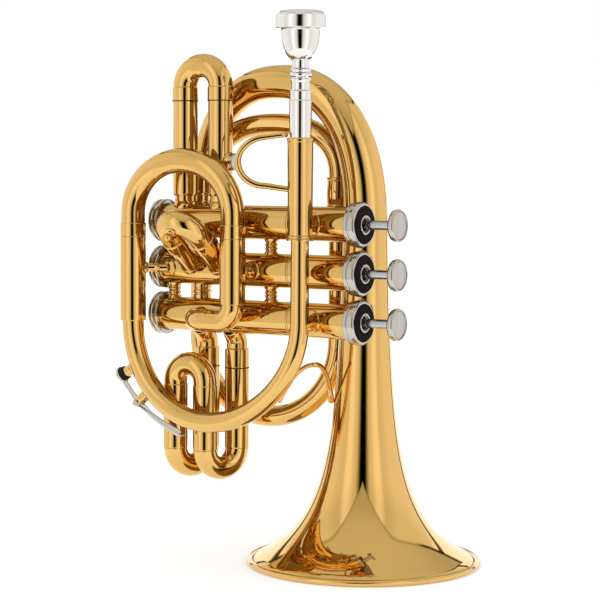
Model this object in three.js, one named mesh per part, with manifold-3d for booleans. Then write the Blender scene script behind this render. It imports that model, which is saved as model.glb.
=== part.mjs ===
// Pocket trumpet: a tightly wrapped three-valve brass horn that stands on its bell.
// Units are millimetres, +Z points up towards the player, +X along the valves to the finger
// buttons, and -Y is the side of the mouthpiece pipe. The origin is under the middle of the whole.
import * as THREE from 'three';
import { mergeVertices } from 'three/addons/utils/BufferGeometryUtils.js';
import Module from 'manifold-3d';

const wasm = await Module();
wasm.setup();

// Frame: where the middle valve's axis lies from the origin
const VALVES_X = 6.55;
const VALVES_Y = -19.87;

// Shared clearances
const touchGap = 0.3;
const slideGap = 0.3;
const wall = 0.8;

// Valves
const valvePitch = 25.4;
const valveMiddleZ = 156.5;
const casingR = 9.2;
const casingWall = 0.6;
const casingLowX = -87.5;
const casingHighX = 34.4;
const bottomCapR = 11.75;
const bottomCapEndX = -90.3;
const bottomCapCrown = 1.8;
const bottomCapSkirt = 3.4;
const topCapR = 11.9;
const topCapFaceX = 41;
const topCapThickness = 3.4;
const capRibDepth = 0.5;
const capStemHoleR = 3.6;
const pistonR = 8.2;
const pistonLength = 74;
const pistonTopX = 31.5;
const stemR = 2.4;
const buttonMidX = 60.2;
const buttonR = 8.5;
const buttonThickness = 4.2;
const buttonDish = 0.6;
const stemSocketDepth = 1.6;
const casingStepX = -0.8;
const casingStepLength = 1.2;

// Links between the casings
const linkWaistR = 1.9;
const linkFootR = 3.3;
const linkWaistShare = 0.1;
const linkStep = 0.3;
const linkHighX = -16.5;
const linkLowX = -80;
const knuckleX = -63;
const knuckleY = 2.3;
const knuckleR = 4.8;
const knuckleRingR = 5.5;

// Bell: the radius follows throatR + flareRise / (1 + z / flareReach) ^ flarePower
const bellX = 27.3;
const bellY = 24;
const throatR = 9.72;
const flareRise = 58.86;
const flareReach = 38.51;
const flarePower = 1.87;
const bellTopZ = 184.7;
const rimR = 62.6;
const rimBeadR = 1.75;
const rimFlat = 1;

// Wrap of the bell tube
const bellBowTipR = 6.2;
const bellBowRise = 72.3;
const bellBowLean = -2.7;
const bellBowSquareness = 2.28;
const bellBowSteps = [12, 1];
const wrapR = 5.7;
const leftLegX = -77.8;
const leftLegY = 22;
const rightLegX = 7.4;
const rightLegY = 30;
const bellFerruleZ = 176;
const bellFerruleLength = 12;
const ferruleR = 6.9;
const bottomBowZ = 118;
const bottomBowDrop = 43.5;
const bottomBowSteps = [1, 9, 1];
const innerFerruleZ = 198.2;
const innerFerruleLength = 16;
const innerBowLowZ = 205.5;
const innerBowRise = 29.2;
const innerBowSquareness = 2.4;
const innerBowEndX = -64;
const innerBowEndY = 14;
const innerBowTurn = 7;
const innerBowSteps = [1, 9, 1, 2, 1];

// Mouthpiece and its pipe
const pipeX = 13.4;
const pipeY = -19;
const receiverTopZ = 226.6;
const mouthStand = 64.9;
const mouthTopZ = receiverTopZ + mouthStand;
const mouthRimR = 13.4;
const mouthRimRound = 2.6;
const mouthRimWall = 6.6;
const mouthCupR = 10.3;
const mouthCupDepth = 24.5;
const mouthNeckR = 4.5;
const mouthWaistR = 4.8;
const mouthBandR = 5.6;
const mouthBandDrop = 40.5;
const mouthBandLength = 5;
const mouthThroatR = 1.9;
const mouthThroatDrop = 15;
const shankTopR = 5.9;
const shankEndR = 5.2;
const shankBoreR = 3.9;
const shankBoreLength = 6;
const shankDepth = 22.6;
const shankEndZ = receiverTopZ - shankDepth;
const receiverLowZ = 173.6;
const receiverR = 6.7;
const receiverLowR = 6.4;
const receiverRingR = 7.1;
const receiverRingLength = 2.6;
const receiverBeadLength = 1.6;
const receiverStop = 3;
const leadpipeR = 4.65;
const leadpipeEndR = 5.9;
const leadBowTopZ = 131;
const leadBowDrop = 53.5;
const leadBowLean = -5.6;
const leadBowEndDrop = 3;
const leadpipeTopLap = 8;
const leadpipeEndLap = 1.5;
const leadpipeWall = 0.7;
const leadpipeSteps = [1, 12, 1];

// Main tuning slide
const sleeveR = 7;
const sleeveBoreR = 6.3;
const tuningLeftX = -94.1;
const tuningRightX = -28.5;
const tuningSleeveTopZ = 173.4;
const tuningLeftDrop = 3.3;
const tuningLeftLowZ = leadBowTopZ - tuningLeftDrop;
const tuningRightLowZ = 138.9;
const tuningCollarTopZ = 180.8;
const tuningStraight = 5;
const tuningBowRise = 28.8;
const tuningBowR = 6.5;
const tuningBowSteps = [1, 10, 1];
const innerLegR = 5.95;
const innerLegWall = 0.6;
const innerLegStop = 4;

// Elbow from the tuning slide into the third casing
const elbowR = 6.1;
const elbowZ = 129.6;
const elbowBend = 8.4;
const elbowPortX = -56;
const elbowSteps = [3, 1, 3, 1];

// First valve slide
const firstLeftX = -72.8;
const firstRightX = -49.6;
const firstStubR = 5.6;
const firstStubReach = 5.5;
const firstStubTopZ = valveMiddleZ + valvePitch + casingR + firstStubReach;
const firstSleeveR = 6.7;
const firstSleeveTopZ = 247;
const firstCollarR = 7.05;
const firstCollarTopZ = 254.6;
const firstBowRise = 11;
const firstBowR = 6.6;
const firstInnerR = 5.7;
const firstBoreR = 6.05;
const studZ = 214;
const studR = 4.9;
const studHeadR = 4.5;
const studFootLength = 0.9;
const studLength = 3.6;

// Second valve slide, which slants out on the mouthpiece-pipe side
const secondTilt = THREE.MathUtils.degToRad(38);
const secondMiddleX = -52;
const secondHalfPitch = 9;
const secondRootY = -5.5;
const secondRootZ = 156.4;
const secondSleeveEnd = 21;
const secondCollarEnd = 27;
const secondStraightEnd = 32;
const secondBowRise = 10;
const secondR = 6.3;
const secondCollarR = 6.8;
const secondBoreR = 5.65;
const secondInnerR = 5.3;
const knobFrom = [0, -5, 41.9];
const knobTo = [0, -8.6, 41.9];
const knobR = 2;
const knobNeckR = 1.3;
const knobFootR = 2.6;
const knobFootLength = 1.9;

// Third valve slide, a double loop that pulls down
const thirdBackY = 8;
const thirdFrontY = -10.2;
const thirdBackRightX = -43.8;
const thirdBackLeftX = -63.3;
const thirdFrontRightX = -52.3;
const thirdFrontLeftX = -71.9;
const thirdStemR = 5.7;
const thirdStemWall = 0.7;
const thirdStemBendZ = 116;
const thirdStemSteps = [1, 2, 1];
const thirdStemTurnShare = 0.35;
const thirdCollarTopZ = 112.8;
const thirdCollarLowZ = 102.7;
const thirdCollarR = 6.6;
const thirdTubeR = 6.6;
const thirdTubeBoreR = 6;
const thirdTubeLowZ = 58.6;
const thirdStemLowZ = 62;
const thirdLoopTopZ = 95;
const thirdLoopRise = 10;
const thirdBowR = 6.3;
const thirdBowDrop = 10.2;

// Braces
const braceR = 3;
const braceGrooveShare = 0.3;
const braceFootR = 6.2;
const braceFootDepth = 1.3;
const sleeveBraceR = 1.8;
const sleeveBraceFootR = 4.8;
const sleeveBraceRightX = -22.7;
const sleeveBraceLeftX = -77.5;
const bellBraceR = 3.2;
const bellBraceFootR = 5.4;
const sBraceR = 1.35;
const sBraceFootX = -1.6;
const sBraceFootY = -15.8;
const sBraceFootZ = 88.6;
const sBraceCrownX = 16.2;
const sBraceCrownY = -8.4;
const sBraceCrownZ = 108.7;
const sBraceEndZ = 86.4;
const sBraceEndAngle = THREE.MathUtils.degToRad(37);
const sBraceRoundShare = 0.5;

// Finger hook on the mouthpiece pipe
const hookR = 1.75;
const hookFootR = 2.2;
const hookEndR = 1.3;
const hookReach = 32.3;
const hookTopZ = 228.4;
const hookLowZ = 200.2;
const hookTipR = 1.6;
const hookEndReach = 6.3;
const hookLowShare = 0.58;
const hookHighShare = 0.62;
const hookOutAngle = THREE.MathUtils.degToRad(28);

// Water key on the mouthpiece pipe's bow
const keyPivotX = -88.4;
const keyPivotZ = 83;
const keyY = -21.2;
const keyNippleX = -96.6;
const keyNippleZ = 99.3;
const keyNippleR = 3;
const keyNippleBoreR = 1.5;
const keyElbowX = -78.5;
const keyElbowZ = 75.2;
const keyBladeX = -60.2;
const keyBladeZ = 67.3;
const keyArmHalfWidth = 2;
const keyArmThickness = 1.3;
const keyHubWall = 1.1;
const keyCupR = 4.4;
const keyCupDepth = 3;
const keyCorkR = 3.7;
const keyCorkDepth = 2.6;
const keyPinR = 0.9;
const keyEarR = 1.9;
const keyEarThickness = 1.1;
const keyPostLength = 12;
const keyBaseDepth = 7;
const keyBaseLength = 8;

// Smoothness
const bellSides = 32;
const roundSides = 16;
const smallSides = 12;
const rodSides = 8;
const slideBowSteps = 8;
const hookBendSteps = 5;
const sBraceSteps = 14;

const Z = new THREE.Vector3(0, 0, 1);
const valveZ = [1, 0, -1].map((step) => valveMiddleZ + step * valvePitch);

// Materials
function finish(color, roughness, metalness = 1) {
  return new THREE.MeshStandardMaterial({ color, roughness, metalness });
}

const lacqueredBrass = finish(0xdcae5a, 0.18);
const silver = finish(0xdcdcda, 0.16);
const nickel = finish(0xb9b6b0, 0.22);
const steel = finish(0xa9aeb4, 0.3);
const cork = finish(0x1c1a19, 0.9, 0);

// Geometry helpers

/** Welds a geometry, drops its empty triangles and turns its faces outwards. */
function weld(source) {
  const bare = new THREE.BufferGeometry();
  bare.setAttribute('position', source.getAttribute('position').clone());
  if (source.index) bare.setIndex(source.index.clone());
  const merged = mergeVertices(bare, 1e-4);
  const at = merged.getAttribute('position');
  const corners = merged.index.array;
  const kept = [];
  let volume = 0;
  const [a, b, c] = [new THREE.Vector3(), new THREE.Vector3(), new THREE.Vector3()];
  for (let i = 0; i < corners.length; i += 3) {
    const [p, q, r] = [corners[i], corners[i + 1], corners[i + 2]];
    if (p === q || q === r || r === p) continue;
    kept.push(p, q, r);
    a.fromBufferAttribute(at, p);
    b.fromBufferAttribute(at, q);
    c.fromBufferAttribute(at, r);
    volume += a.dot(b.cross(c));
  }
  merged.setIndex(volume < 0 ? kept.reverse() : kept);
  merged.computeVertexNormals();
  return merged;
}

function toSolid(geometry) {
  const welded = weld(geometry);
  const vertProperties = Float32Array.from(welded.getAttribute('position').array);
  const triVerts = Uint32Array.from(welded.index.array);
  return new wasm.Manifold(new wasm.Mesh({ numProp: 3, vertProperties, triVerts }));
}

function fromSolid(solid) {
  const mesh = solid.getMesh();
  const geometry = new THREE.BufferGeometry();
  const flat = new Float32Array(mesh.numVert * 3);
  for (let i = 0; i < mesh.numVert; i += 1) {
    for (let k = 0; k < 3; k += 1) flat[i * 3 + k] = mesh.vertProperties[i * mesh.numProp + k];
  }
  geometry.setAttribute('position', new THREE.BufferAttribute(flat, 3));
  geometry.setIndex(Array.from(mesh.triVerts));
  return geometry;
}

function join(first, ...others) {
  return fromSolid(others.reduce((sum, next) => sum.add(toSolid(next)), toSolid(first)));
}

function cut(first, ...tools) {
  return fromSolid(tools.reduce((rest, tool) => rest.subtract(toSolid(tool)), toSolid(first)));
}

/** A turned piece about +Z, from [radius, height] pairs. A profile off the axis closes on itself. */
function turned(profile, sides = roundSides) {
  const points = profile.map(([r, h]) => new THREE.Vector2(r, h));
  if (profile[0][0] > 0) points.push(points[0].clone());
  const geometry = new THREE.LatheGeometry(points, sides);
  geometry.rotateX(Math.PI / 2);
  return weld(geometry);
}

/** A plain tube or rod about +Z between two heights. */
function barrel(radius, low, high, bore = 0, sides = roundSides) {
  const profile = bore > 0
    ? [[bore, low], [radius, low], [radius, high], [bore, high]]
    : [[0, low], [radius, low], [radius, high], [0, high]];
  return turned(profile, sides);
}

/** Turns a piece made about +Z so that it runs from one point towards another. */
function aim(geometry, from, to) {
  const direction = to.clone().sub(from).normalize();
  geometry.applyQuaternion(new THREE.Quaternion().setFromUnitVectors(Z, direction));
  return geometry.translate(from.x, from.y, from.z);
}

/**
 * Half an ellipse between two points, rising (or dropping) by rise and leaning along Y by lean.
 * A squareness over 2 gives it fuller shoulders.
 */
class HalfBow extends THREE.Curve {
  constructor(start, end, rise, lean = 0, squareness = 2) {
    super();
    Object.assign(this, { start, end, rise, lean, power: 2 / squareness });
  }

  getPoint(t, target = new THREE.Vector3()) {
    const [along, up] = [Math.cos(Math.PI * t), Math.abs(Math.sin(Math.PI * t))];
    const across = Math.sign(along) * Math.abs(along) ** this.power;
    target.lerpVectors(this.start, this.end, (1 - across) / 2);
    target.y += this.lean * up ** 2;
    target.z += this.rise * up ** this.power;
    return target;
  }
}

/** A route of straight runs, bows and rounded corners, sampled by share of its length. */
class Route extends THREE.CurvePath {
  constructor(...parts) {
    super();
    parts.forEach((part) => this.add(part));
    this.arcLengthDivisions = 400;
  }
}

const point = (x, y, z) => new THREE.Vector3(x, y, z);
const straight = (from, to) => new THREE.LineCurve3(from, to);

/** A rounded corner between two points around a corner point, close to a circular arc. */
function corner(from, around, to) {
  const arcShare = 0.5523;
  return new THREE.CubicBezierCurve3(
    from, from.clone().lerp(around, arcShare), to.clone().lerp(around, arcShare), to);
}

/** Bends a turned piece along a route: its heights become distances along the route. */
function bent(profile, route, sideways, sides = roundSides) {
  const geometry = turned(profile, sides);
  const at = geometry.getAttribute('position');
  const length = route.getLength();
  const tangent = new THREE.Vector3();
  const middle = new THREE.Vector3();
  const [across, over] = [new THREE.Vector3(), new THREE.Vector3()];
  for (let i = 0; i < at.count; i += 1) {
    const share = THREE.MathUtils.clamp(at.getZ(i) / length, 0, 1);
    route.getPointAt(share, middle);
    route.getTangentAt(share, tangent);
    across.crossVectors(sideways, tangent).normalize();
    over.crossVectors(tangent, across);
    middle.addScaledVector(across, at.getX(i)).addScaledVector(over, at.getY(i));
    at.setXYZ(i, middle.x, middle.y, middle.z);
  }
  return weld(geometry);
}

/** A hollow bent tube whose radius runs evenly from one end's to the other's. */
function bentTube(route, startR, endR, thickness, marks, sideways, sides = smallSides) {
  const length = route.getLength();
  const radius = (share) => THREE.MathUtils.lerp(startR, endR, share);
  const outer = marks.map((share) => [radius(share), share * length]);
  const inner = marks.map((share) => [radius(share) - thickness, share * length]).reverse();
  return bent([...outer, ...inner], route, sideways, sides);
}

/** A rod of one thickness along a curve. */
function rod(curve, radius, steps, sides = rodSides) {
  const ring = Array.from({ length: sides }, (_, i) => {
    const angle = (2 * Math.PI * i) / sides;
    return new THREE.Vector2(radius * Math.cos(angle), radius * Math.sin(angle));
  });
  const settings = { steps, extrudePath: curve, bevelEnabled: false };
  return weld(new THREE.ExtrudeGeometry(new THREE.Shape(ring), settings));
}

/** Shares of a route's length at its joints, with even steps on each bend. */
function marksOf(route, stepsOfEachPart) {
  const lengths = route.getCurveLengths();
  const total = lengths[lengths.length - 1];
  const marks = [0];
  stepsOfEachPart.forEach((steps, part) => {
    const begin = part === 0 ? 0 : lengths[part - 1];
    for (let i = 1; i <= steps; i += 1) {
      marks.push((begin + ((lengths[part] - begin) * i) / steps) / total);
    }
  });
  return marks;
}

// The whole, and the way pieces are put in it
const trumpet = new THREE.Group();
trumpet.position.set(VALVES_X, VALVES_Y, 0);

function place(name, geometry, material) {
  const mesh = new THREE.Mesh(geometry, material);
  mesh.name = name;
  trumpet.add(mesh);
  return mesh;
}

/** A cylinder round one casing's axis, as a tool to cut what meets the casing. */
function casingTool(z, radius = casingR + touchGap) {
  const tool = barrel(radius, 2 * casingLowX, 2 * casingHighX, 0, roundSides);
  return aim(tool, point(0, 0, z), point(1, 0, z));
}

/** A turned piece laid along +X at one valve's height. */
function onValve(profile, z, sides = roundSides) {
  return aim(turned(profile, sides), point(0, 0, z), point(1, 0, z));
}

// Valves
function buildValve(number, z) {
  const bore = casingR - casingWall;
  const stepR = casingR + touchGap;
  place(`valve_casing_${number}`, onValve([
    [bore, casingLowX], [casingR, casingLowX], [casingR, casingStepX - casingStepLength],
    [stepR, casingStepX - casingStepLength / 2], [stepR, casingStepX], [casingR, casingStepX + touchGap],
    [casingR, casingHighX], [bore, casingHighX],
  ], z), lacqueredBrass);

  const capInner = bottomCapR - 2 * wall;
  place(`bottom_cap_${number}`, onValve([
    [0, bottomCapEndX], [bottomCapR - bottomCapCrown, bottomCapEndX],
    [bottomCapR, bottomCapEndX + bottomCapCrown / 2], [bottomCapR, casingLowX + bottomCapCrown],
    [bottomCapR - capRibDepth, casingLowX + bottomCapSkirt],
    [casingR + touchGap, casingLowX + bottomCapSkirt],
    [casingR + touchGap, casingLowX - touchGap], [capInner, casingLowX - touchGap],
    [capInner, bottomCapEndX + bottomCapCrown], [0, bottomCapEndX + bottomCapCrown],
  ], z), nickel);

  const capLowX = topCapFaceX - 2 * topCapThickness;
  place(`top_cap_${number}`, onValve([
    [capStemHoleR, topCapFaceX - topCapThickness], [casingR + touchGap, topCapFaceX - topCapThickness],
    [casingR + touchGap, capLowX], [topCapR - capRibDepth, capLowX],
    [topCapR, capLowX + capRibDepth], [topCapR, topCapFaceX - topCapThickness],
    [topCapR - capRibDepth, topCapFaceX - topCapThickness + capRibDepth],
    [topCapR, topCapFaceX - topCapThickness + 2 * capRibDepth], [topCapR, topCapFaceX - capRibDepth],
    [topCapR - 2 * capRibDepth, topCapFaceX], [capStemHoleR, topCapFaceX],
  ], z), nickel);

  const skirtX = pistonTopX - pistonLength;
  const stemEndX = buttonMidX - buttonThickness / 2 + stemSocketDepth;
  place(`piston_${number}`, onValve([
    [pistonR - wall, skirtX], [pistonR, skirtX], [pistonR, pistonTopX], [stemR, pistonTopX],
    [stemR, stemEndX], [0, stemEndX], [0, pistonTopX - 2 * wall], [pistonR - wall, pistonTopX - 2 * wall],
  ], z, smallSides), steel);

  const underX = buttonMidX - buttonThickness / 2;
  const faceX = buttonMidX + buttonThickness / 2;
  place(`finger_button_${number}`, onValve([
    [0, stemEndX + touchGap], [stemR + touchGap, stemEndX + touchGap], [stemR + touchGap, underX],
    [buttonR - buttonThickness / 2, underX], [buttonR, underX + buttonThickness / 3],
    [buttonR, faceX - buttonThickness / 3], [buttonR - buttonThickness / 4, faceX],
    [buttonR - buttonThickness / 2, faceX - buttonDish], [0, faceX - buttonDish],
  ], z), nickel);
}

/** A turned baluster between two neighbouring casings. */
function buildLink(name, x, y, lowZ, waist, ring) {
  const half = valvePitch / 2;
  const waistHalf = half * linkWaistShare;
  const post = turned([
    [0, -half], [ring, -half], [ring, -waistHalf - linkStep], [waist, -waistHalf], [waist, waistHalf],
    [ring, waistHalf + linkStep], [ring, half], [0, half],
  ], smallSides);
  post.translate(x, y, lowZ + half);
  place(name, cut(post, casingTool(lowZ), casingTool(lowZ + valvePitch)), lacqueredBrass);
}

function buildValves() {
  valveZ.forEach((z, index) => buildValve(index + 1, z));
  [valveZ[1], valveZ[2]].forEach((lowZ, index) => {
    const pair = `${index + 1}_${index + 2}`;
    buildLink(`casing_link_high_${pair}`, linkHighX, 0, lowZ, linkWaistR, linkFootR);
    buildLink(`casing_link_low_${pair}`, linkLowX, 0, lowZ, linkWaistR, linkFootR);
    buildLink(`valve_knuckle_${pair}`, knuckleX, knuckleY, lowZ, knuckleR, knuckleRingR);
  });
}

// Bell and its wrap
function bellRadius(z) {
  return throatR + flareRise / (1 + z / flareReach) ** flarePower;
}

function buildBell() {
  const heightShares = [0.022, 0.045, 0.075, 0.11, 0.16, 0.23, 0.32, 0.45, 0.65, 1];
  const outer = heightShares.map((share) => [bellRadius(share * bellTopZ), share * bellTopZ]);
  const inner = outer.map(([r, z]) => [r - wall, z]).reverse();
  const beadR = rimR - rimBeadR;
  const bead = [
    [beadR - rimFlat / 2, 0], [beadR + rimFlat / 2, 0], [rimR, rimBeadR * 0.6],
    [rimR, rimBeadR * 1.5], [beadR + rimBeadR / 3, rimBeadR * 2], [beadR - rimBeadR / 2, rimBeadR * 1.9],
    [beadR - rimBeadR * 0.85, rimBeadR * 1.5],
  ];
  const shell = turned([...bead, ...outer, ...inner, [beadR - rimBeadR, rimBeadR]], bellSides);
  place('bell', shell.translate(bellX, bellY, 0), lacqueredBrass);

  const top = point(bellX, bellY, bellTopZ + touchGap);
  const leftTop = point(leftLegX, leftLegY, top.z);
  const leftLow = point(leftLegX, leftLegY, bellFerruleZ + touchGap);
  const crown = new HalfBow(top, leftTop, bellBowRise, bellBowLean, bellBowSquareness);
  const route = new Route(crown, straight(leftTop, leftLow));
  const marks = marksOf(route, bellBowSteps);
  const tube = bentTube(route, bellRadius(bellTopZ), bellBowTipR, wall, marks, point(0, 1, 0));
  place('bell_bow', tube, lacqueredBrass);
}

/** A short decorated ferrule over the joint of two tubes. */
function buildFerrule(name, x, y, topZ, length, tubeR) {
  const bore = tubeR + touchGap;
  const ferrule = turned([
    [bore, topZ - length], [ferruleR, topZ - length], [ferruleR, topZ - length * 0.75],
    [ferruleR * 0.96, topZ - length * 0.7], [ferruleR, topZ - length * 0.2], [ferruleR * 1.04, topZ],
    [bore, topZ],
  ], roundSides);
  place(name, ferrule.translate(x, y, 0), lacqueredBrass);
}

function buildWrap() {
  const leftTop = point(leftLegX, leftLegY, bellFerruleZ - touchGap);
  const leftLow = point(leftLegX, leftLegY, bottomBowZ);
  const rightLow = point(rightLegX, rightLegY, bottomBowZ);
  const rightTop = point(rightLegX, rightLegY, innerFerruleZ - touchGap);
  const lower = new Route(
    straight(leftTop, leftLow), new HalfBow(leftLow, rightLow, -bottomBowDrop), straight(rightLow, rightTop));
  const bottom = bentTube(lower, wrapR, wrapR, wall, marksOf(lower, bottomBowSteps), point(0, 1, 0));
  place('bottom_bow', bottom, lacqueredBrass);

  const innerStart = point(rightLegX, rightLegY, innerFerruleZ + touchGap);
  const innerLow = point(rightLegX, rightLegY, innerBowLowZ);
  const innerEnd = point(innerBowEndX, innerBowEndY, innerLow.z);
  const portCorner = point(innerBowEndX, innerBowEndY, valveZ[0]);
  const beforeTurn = portCorner.clone().setZ(valveZ[0] + innerBowTurn);
  const afterTurn = portCorner.clone().setY(innerBowEndY - innerBowTurn);
  const inside = point(innerBowEndX, 0, valveZ[0]);
  const upper = new Route(straight(innerStart, innerLow),
    new HalfBow(innerLow, innerEnd, innerBowRise, 0, innerBowSquareness),
    straight(innerEnd, beforeTurn), corner(beforeTurn, portCorner, afterTurn), straight(afterTurn, inside));
  const tube = bentTube(upper, wrapR, wrapR, wall, marksOf(upper, innerBowSteps), point(1, 0.6, 0));
  place('inner_bow', cut(tube, casingTool(valveZ[0])), lacqueredBrass);

  const bellTop = bellFerruleZ + bellFerruleLength / 2;
  const innerTop = innerFerruleZ + innerFerruleLength / 2;
  buildFerrule('bell_ferrule', leftLegX, leftLegY, bellTop, bellFerruleLength, bellBowTipR);
  buildFerrule('inner_bow_ferrule', rightLegX, rightLegY, innerTop, innerFerruleLength, wrapR);
}

// Mouthpiece, its receiver and the pipe that follows
function buildMouthpiece() {
  const down = (drop) => mouthTopZ - drop;
  const bandLowDrop = mouthBandDrop + mouthBandLength;
  const rimWallDrop = mouthRimRound + mouthRimWall;
  const beadDrops = [0.86, 0.835, 0.79].map((share) => share * mouthBandDrop);
  const outer = [
    [shankBoreR, shankEndZ], [shankEndR, shankEndZ], [shankTopR, down(bandLowDrop + touchGap)],
    [mouthBandR, down(bandLowDrop)], [mouthBandR, down(mouthBandDrop)],
    [mouthWaistR, down(mouthBandDrop - wall)], [mouthWaistR, down(beadDrops[0] + wall)],
    [mouthBandR, down(beadDrops[0])], [mouthWaistR, down(beadDrops[1])], [mouthBandR, down(beadDrops[2])],
    [mouthNeckR, down(beadDrops[2] - 2 * wall)], [mouthNeckR, down(mouthCupDepth)],
    [mouthCupR * 0.7, down(mouthCupDepth * 0.91)], [mouthCupR * 0.9, down(mouthCupDepth * 0.76)],
    [mouthCupR, down(mouthCupDepth * 0.57)], [mouthCupR, down(rimWallDrop)],
    [mouthRimR, down(rimWallDrop)], [mouthRimR, down(mouthRimRound)],
    [mouthRimR * 0.91, down(mouthRimRound * 0.3)], [mouthRimR * 0.79, mouthTopZ],
  ];
  const inner = [
    [mouthRimR * 0.67, down(mouthRimRound * 0.27)], [mouthRimR * 0.61, down(mouthRimRound)],
    [mouthRimR * 0.57, down(mouthThroatDrop * 0.53)], [mouthRimR * 0.39, down(mouthThroatDrop * 0.8)],
    [mouthThroatR, down(mouthThroatDrop)], [mouthThroatR, down(mouthCupDepth)],
    [shankBoreR, shankEndZ + shankBoreLength],
  ];
  place('mouthpiece', turned([...outer, ...inner]).translate(pipeX, pipeY, 0), silver);
}

/** The leadpipe's line: down from the receiver, round its bow and up into the left tuning sleeve. */
function leadpipeRoute() {
  const bowStart = point(pipeX, pipeY, leadBowTopZ);
  const bowEnd = point(tuningLeftX, pipeY, leadBowTopZ - leadBowEndDrop);
  return new Route(straight(point(pipeX, pipeY, receiverLowZ + leadpipeTopLap), bowStart),
    new HalfBow(bowStart, bowEnd, -leadBowDrop, leadBowLean),
    straight(bowEnd, point(tuningLeftX, pipeY, tuningLeftLowZ + leadpipeEndLap)));
}

/** A solid rod on the leadpipe's line, as a tool to cut what meets the pipe. */
function leadpipeTool() {
  const route = leadpipeRoute();
  const length = route.getLength();
  const rings = marksOf(route, leadpipeSteps)
    .map((share) => [THREE.MathUtils.lerp(leadpipeR, leadpipeEndR, share) + touchGap, share * length]);
  return bent([[0, 0], ...rings, [0, length]], route, point(0, 1, 0), smallSides);
}

function buildLeadpipe() {
  const ringZ = receiverLowZ + receiverRingLength;
  const beadZ = receiverTopZ - receiverBeadLength;
  const receiver = turned([
    [leadpipeR + touchGap, receiverLowZ], [receiverRingR, receiverLowZ], [receiverRingR, ringZ],
    [receiverLowR, ringZ], [receiverR, beadZ - receiverBeadLength / 2],
    [receiverR + touchGap, beadZ], [receiverR, receiverTopZ], [shankTopR + slideGap, receiverTopZ],
    [shankEndR + slideGap, shankEndZ], [shankEndR + slideGap, shankEndZ - receiverStop],
    [leadpipeR + touchGap, shankEndZ - receiverStop - wall],
  ]);
  place('mouthpiece_receiver', receiver.translate(pipeX, pipeY, 0), lacqueredBrass);

  const route = leadpipeRoute();
  const marks = marksOf(route, leadpipeSteps);
  const pipe = bentTube(route, leadpipeR, leadpipeEndR, leadpipeWall, marks, point(0, 1, 0));
  place('leadpipe', join(pipe, waterNipple()), lacqueredBrass);
}

// Slides
/** The inner leg of a slide with the collar that meets its sleeve, made about +Z, collar on top. */
function slideLeg(collarR, collarTop, collarLow, legR, legLow, bore) {
  return turned([
    [bore, legLow], [legR, legLow], [legR, collarLow], [collarR, collarLow], [collarR, collarTop],
    [bore, collarTop],
  ], smallSides);
}

function buildTuningSlide() {
  const legs = [
    ['left', tuningLeftX, tuningLeftLowZ],
    ['right', tuningRightX, tuningRightLowZ],
  ];
  legs.forEach(([side, x, lowZ]) => {
    const sleeve = barrel(sleeveR, lowZ, tuningSleeveTopZ, sleeveBoreR);
    place(`tuning_sleeve_${side}`, sleeve.translate(x, pipeY, 0), lacqueredBrass);
    const leg = slideLeg(sleeveR, tuningCollarTopZ, tuningSleeveTopZ + touchGap,
      innerLegR, lowZ + innerLegStop, innerLegR - innerLegWall);
    place(`tuning_leg_${side}`, leg.translate(x, pipeY, 0), lacqueredBrass);
  });
  const right = point(tuningRightX, pipeY, tuningCollarTopZ + touchGap);
  const rightUp = right.clone().setZ(right.z + tuningStraight);
  const leftUp = point(tuningLeftX, pipeY, rightUp.z);
  const route = new Route(straight(right, rightUp), new HalfBow(rightUp, leftUp, tuningBowRise),
    straight(leftUp, leftUp.clone().setZ(right.z)));
  const bow = bentTube(route, tuningBowR, tuningBowR, wall, marksOf(route, tuningBowSteps), point(0, 1, 0));
  place('tuning_bow', bow, lacqueredBrass);
}

function buildElbow() {
  const start = point(tuningRightX, pipeY, tuningRightLowZ - touchGap);
  const lowCorner = point(tuningRightX, pipeY, elbowZ);
  const afterDrop = point(tuningRightX - elbowBend, pipeY, elbowZ);
  const portCorner = point(elbowPortX, pipeY, elbowZ);
  const beforeTurn = point(elbowPortX + elbowBend, pipeY, elbowZ);
  const afterTurn = point(elbowPortX, pipeY + elbowBend, elbowZ);
  const route = new Route(corner(start, lowCorner, afterDrop), straight(afterDrop, beforeTurn),
    corner(beforeTurn, portCorner, afterTurn), straight(afterTurn, point(elbowPortX, 0, elbowZ)));
  const tube = bentTube(route, elbowR, elbowR, wall, marksOf(route, elbowSteps), point(0, 1, 1));
  place('third_valve_elbow', cut(tube, casingTool(valveZ[2])), lacqueredBrass);
}

/** A slide in one bend about +Z: two inner legs, a collar on each and the bow between them. */
function slideLoop(halfPitch, size) {
  const foot = point(halfPitch, 0, size.legLow);
  const top = point(halfPitch, 0, size.straightTop);
  const [farFoot, farTop] = [foot, top].map((at) => at.clone().setX(-halfPitch));
  const route = new Route(straight(foot, top), new HalfBow(top, farTop, size.rise), straight(farTop, farFoot));
  const length = route.getLength();
  const bow = marksOf(route, [1, size.steps, 1]).slice(1, -1).map((share) => share * length);
  const legs = [
    [size.legR, 0], [size.legR, size.collarLow - size.legLow], [size.collarR, size.collarLow - size.legLow],
    [size.collarR, size.collarTop - size.legLow], [size.bowR, size.collarTop - size.legLow],
  ];
  const farLegs = legs.map(([r, along]) => [r, length - along]).reverse();
  const inside = [0, ...bow, length].map((along) => [size.bore, along]).reverse();
  const outside = [...legs, ...bow.map((along) => [size.bowR, along]), ...farLegs];
  return bent([...outside, ...inside], route, point(0, 1, 0), smallSides);
}

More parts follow.
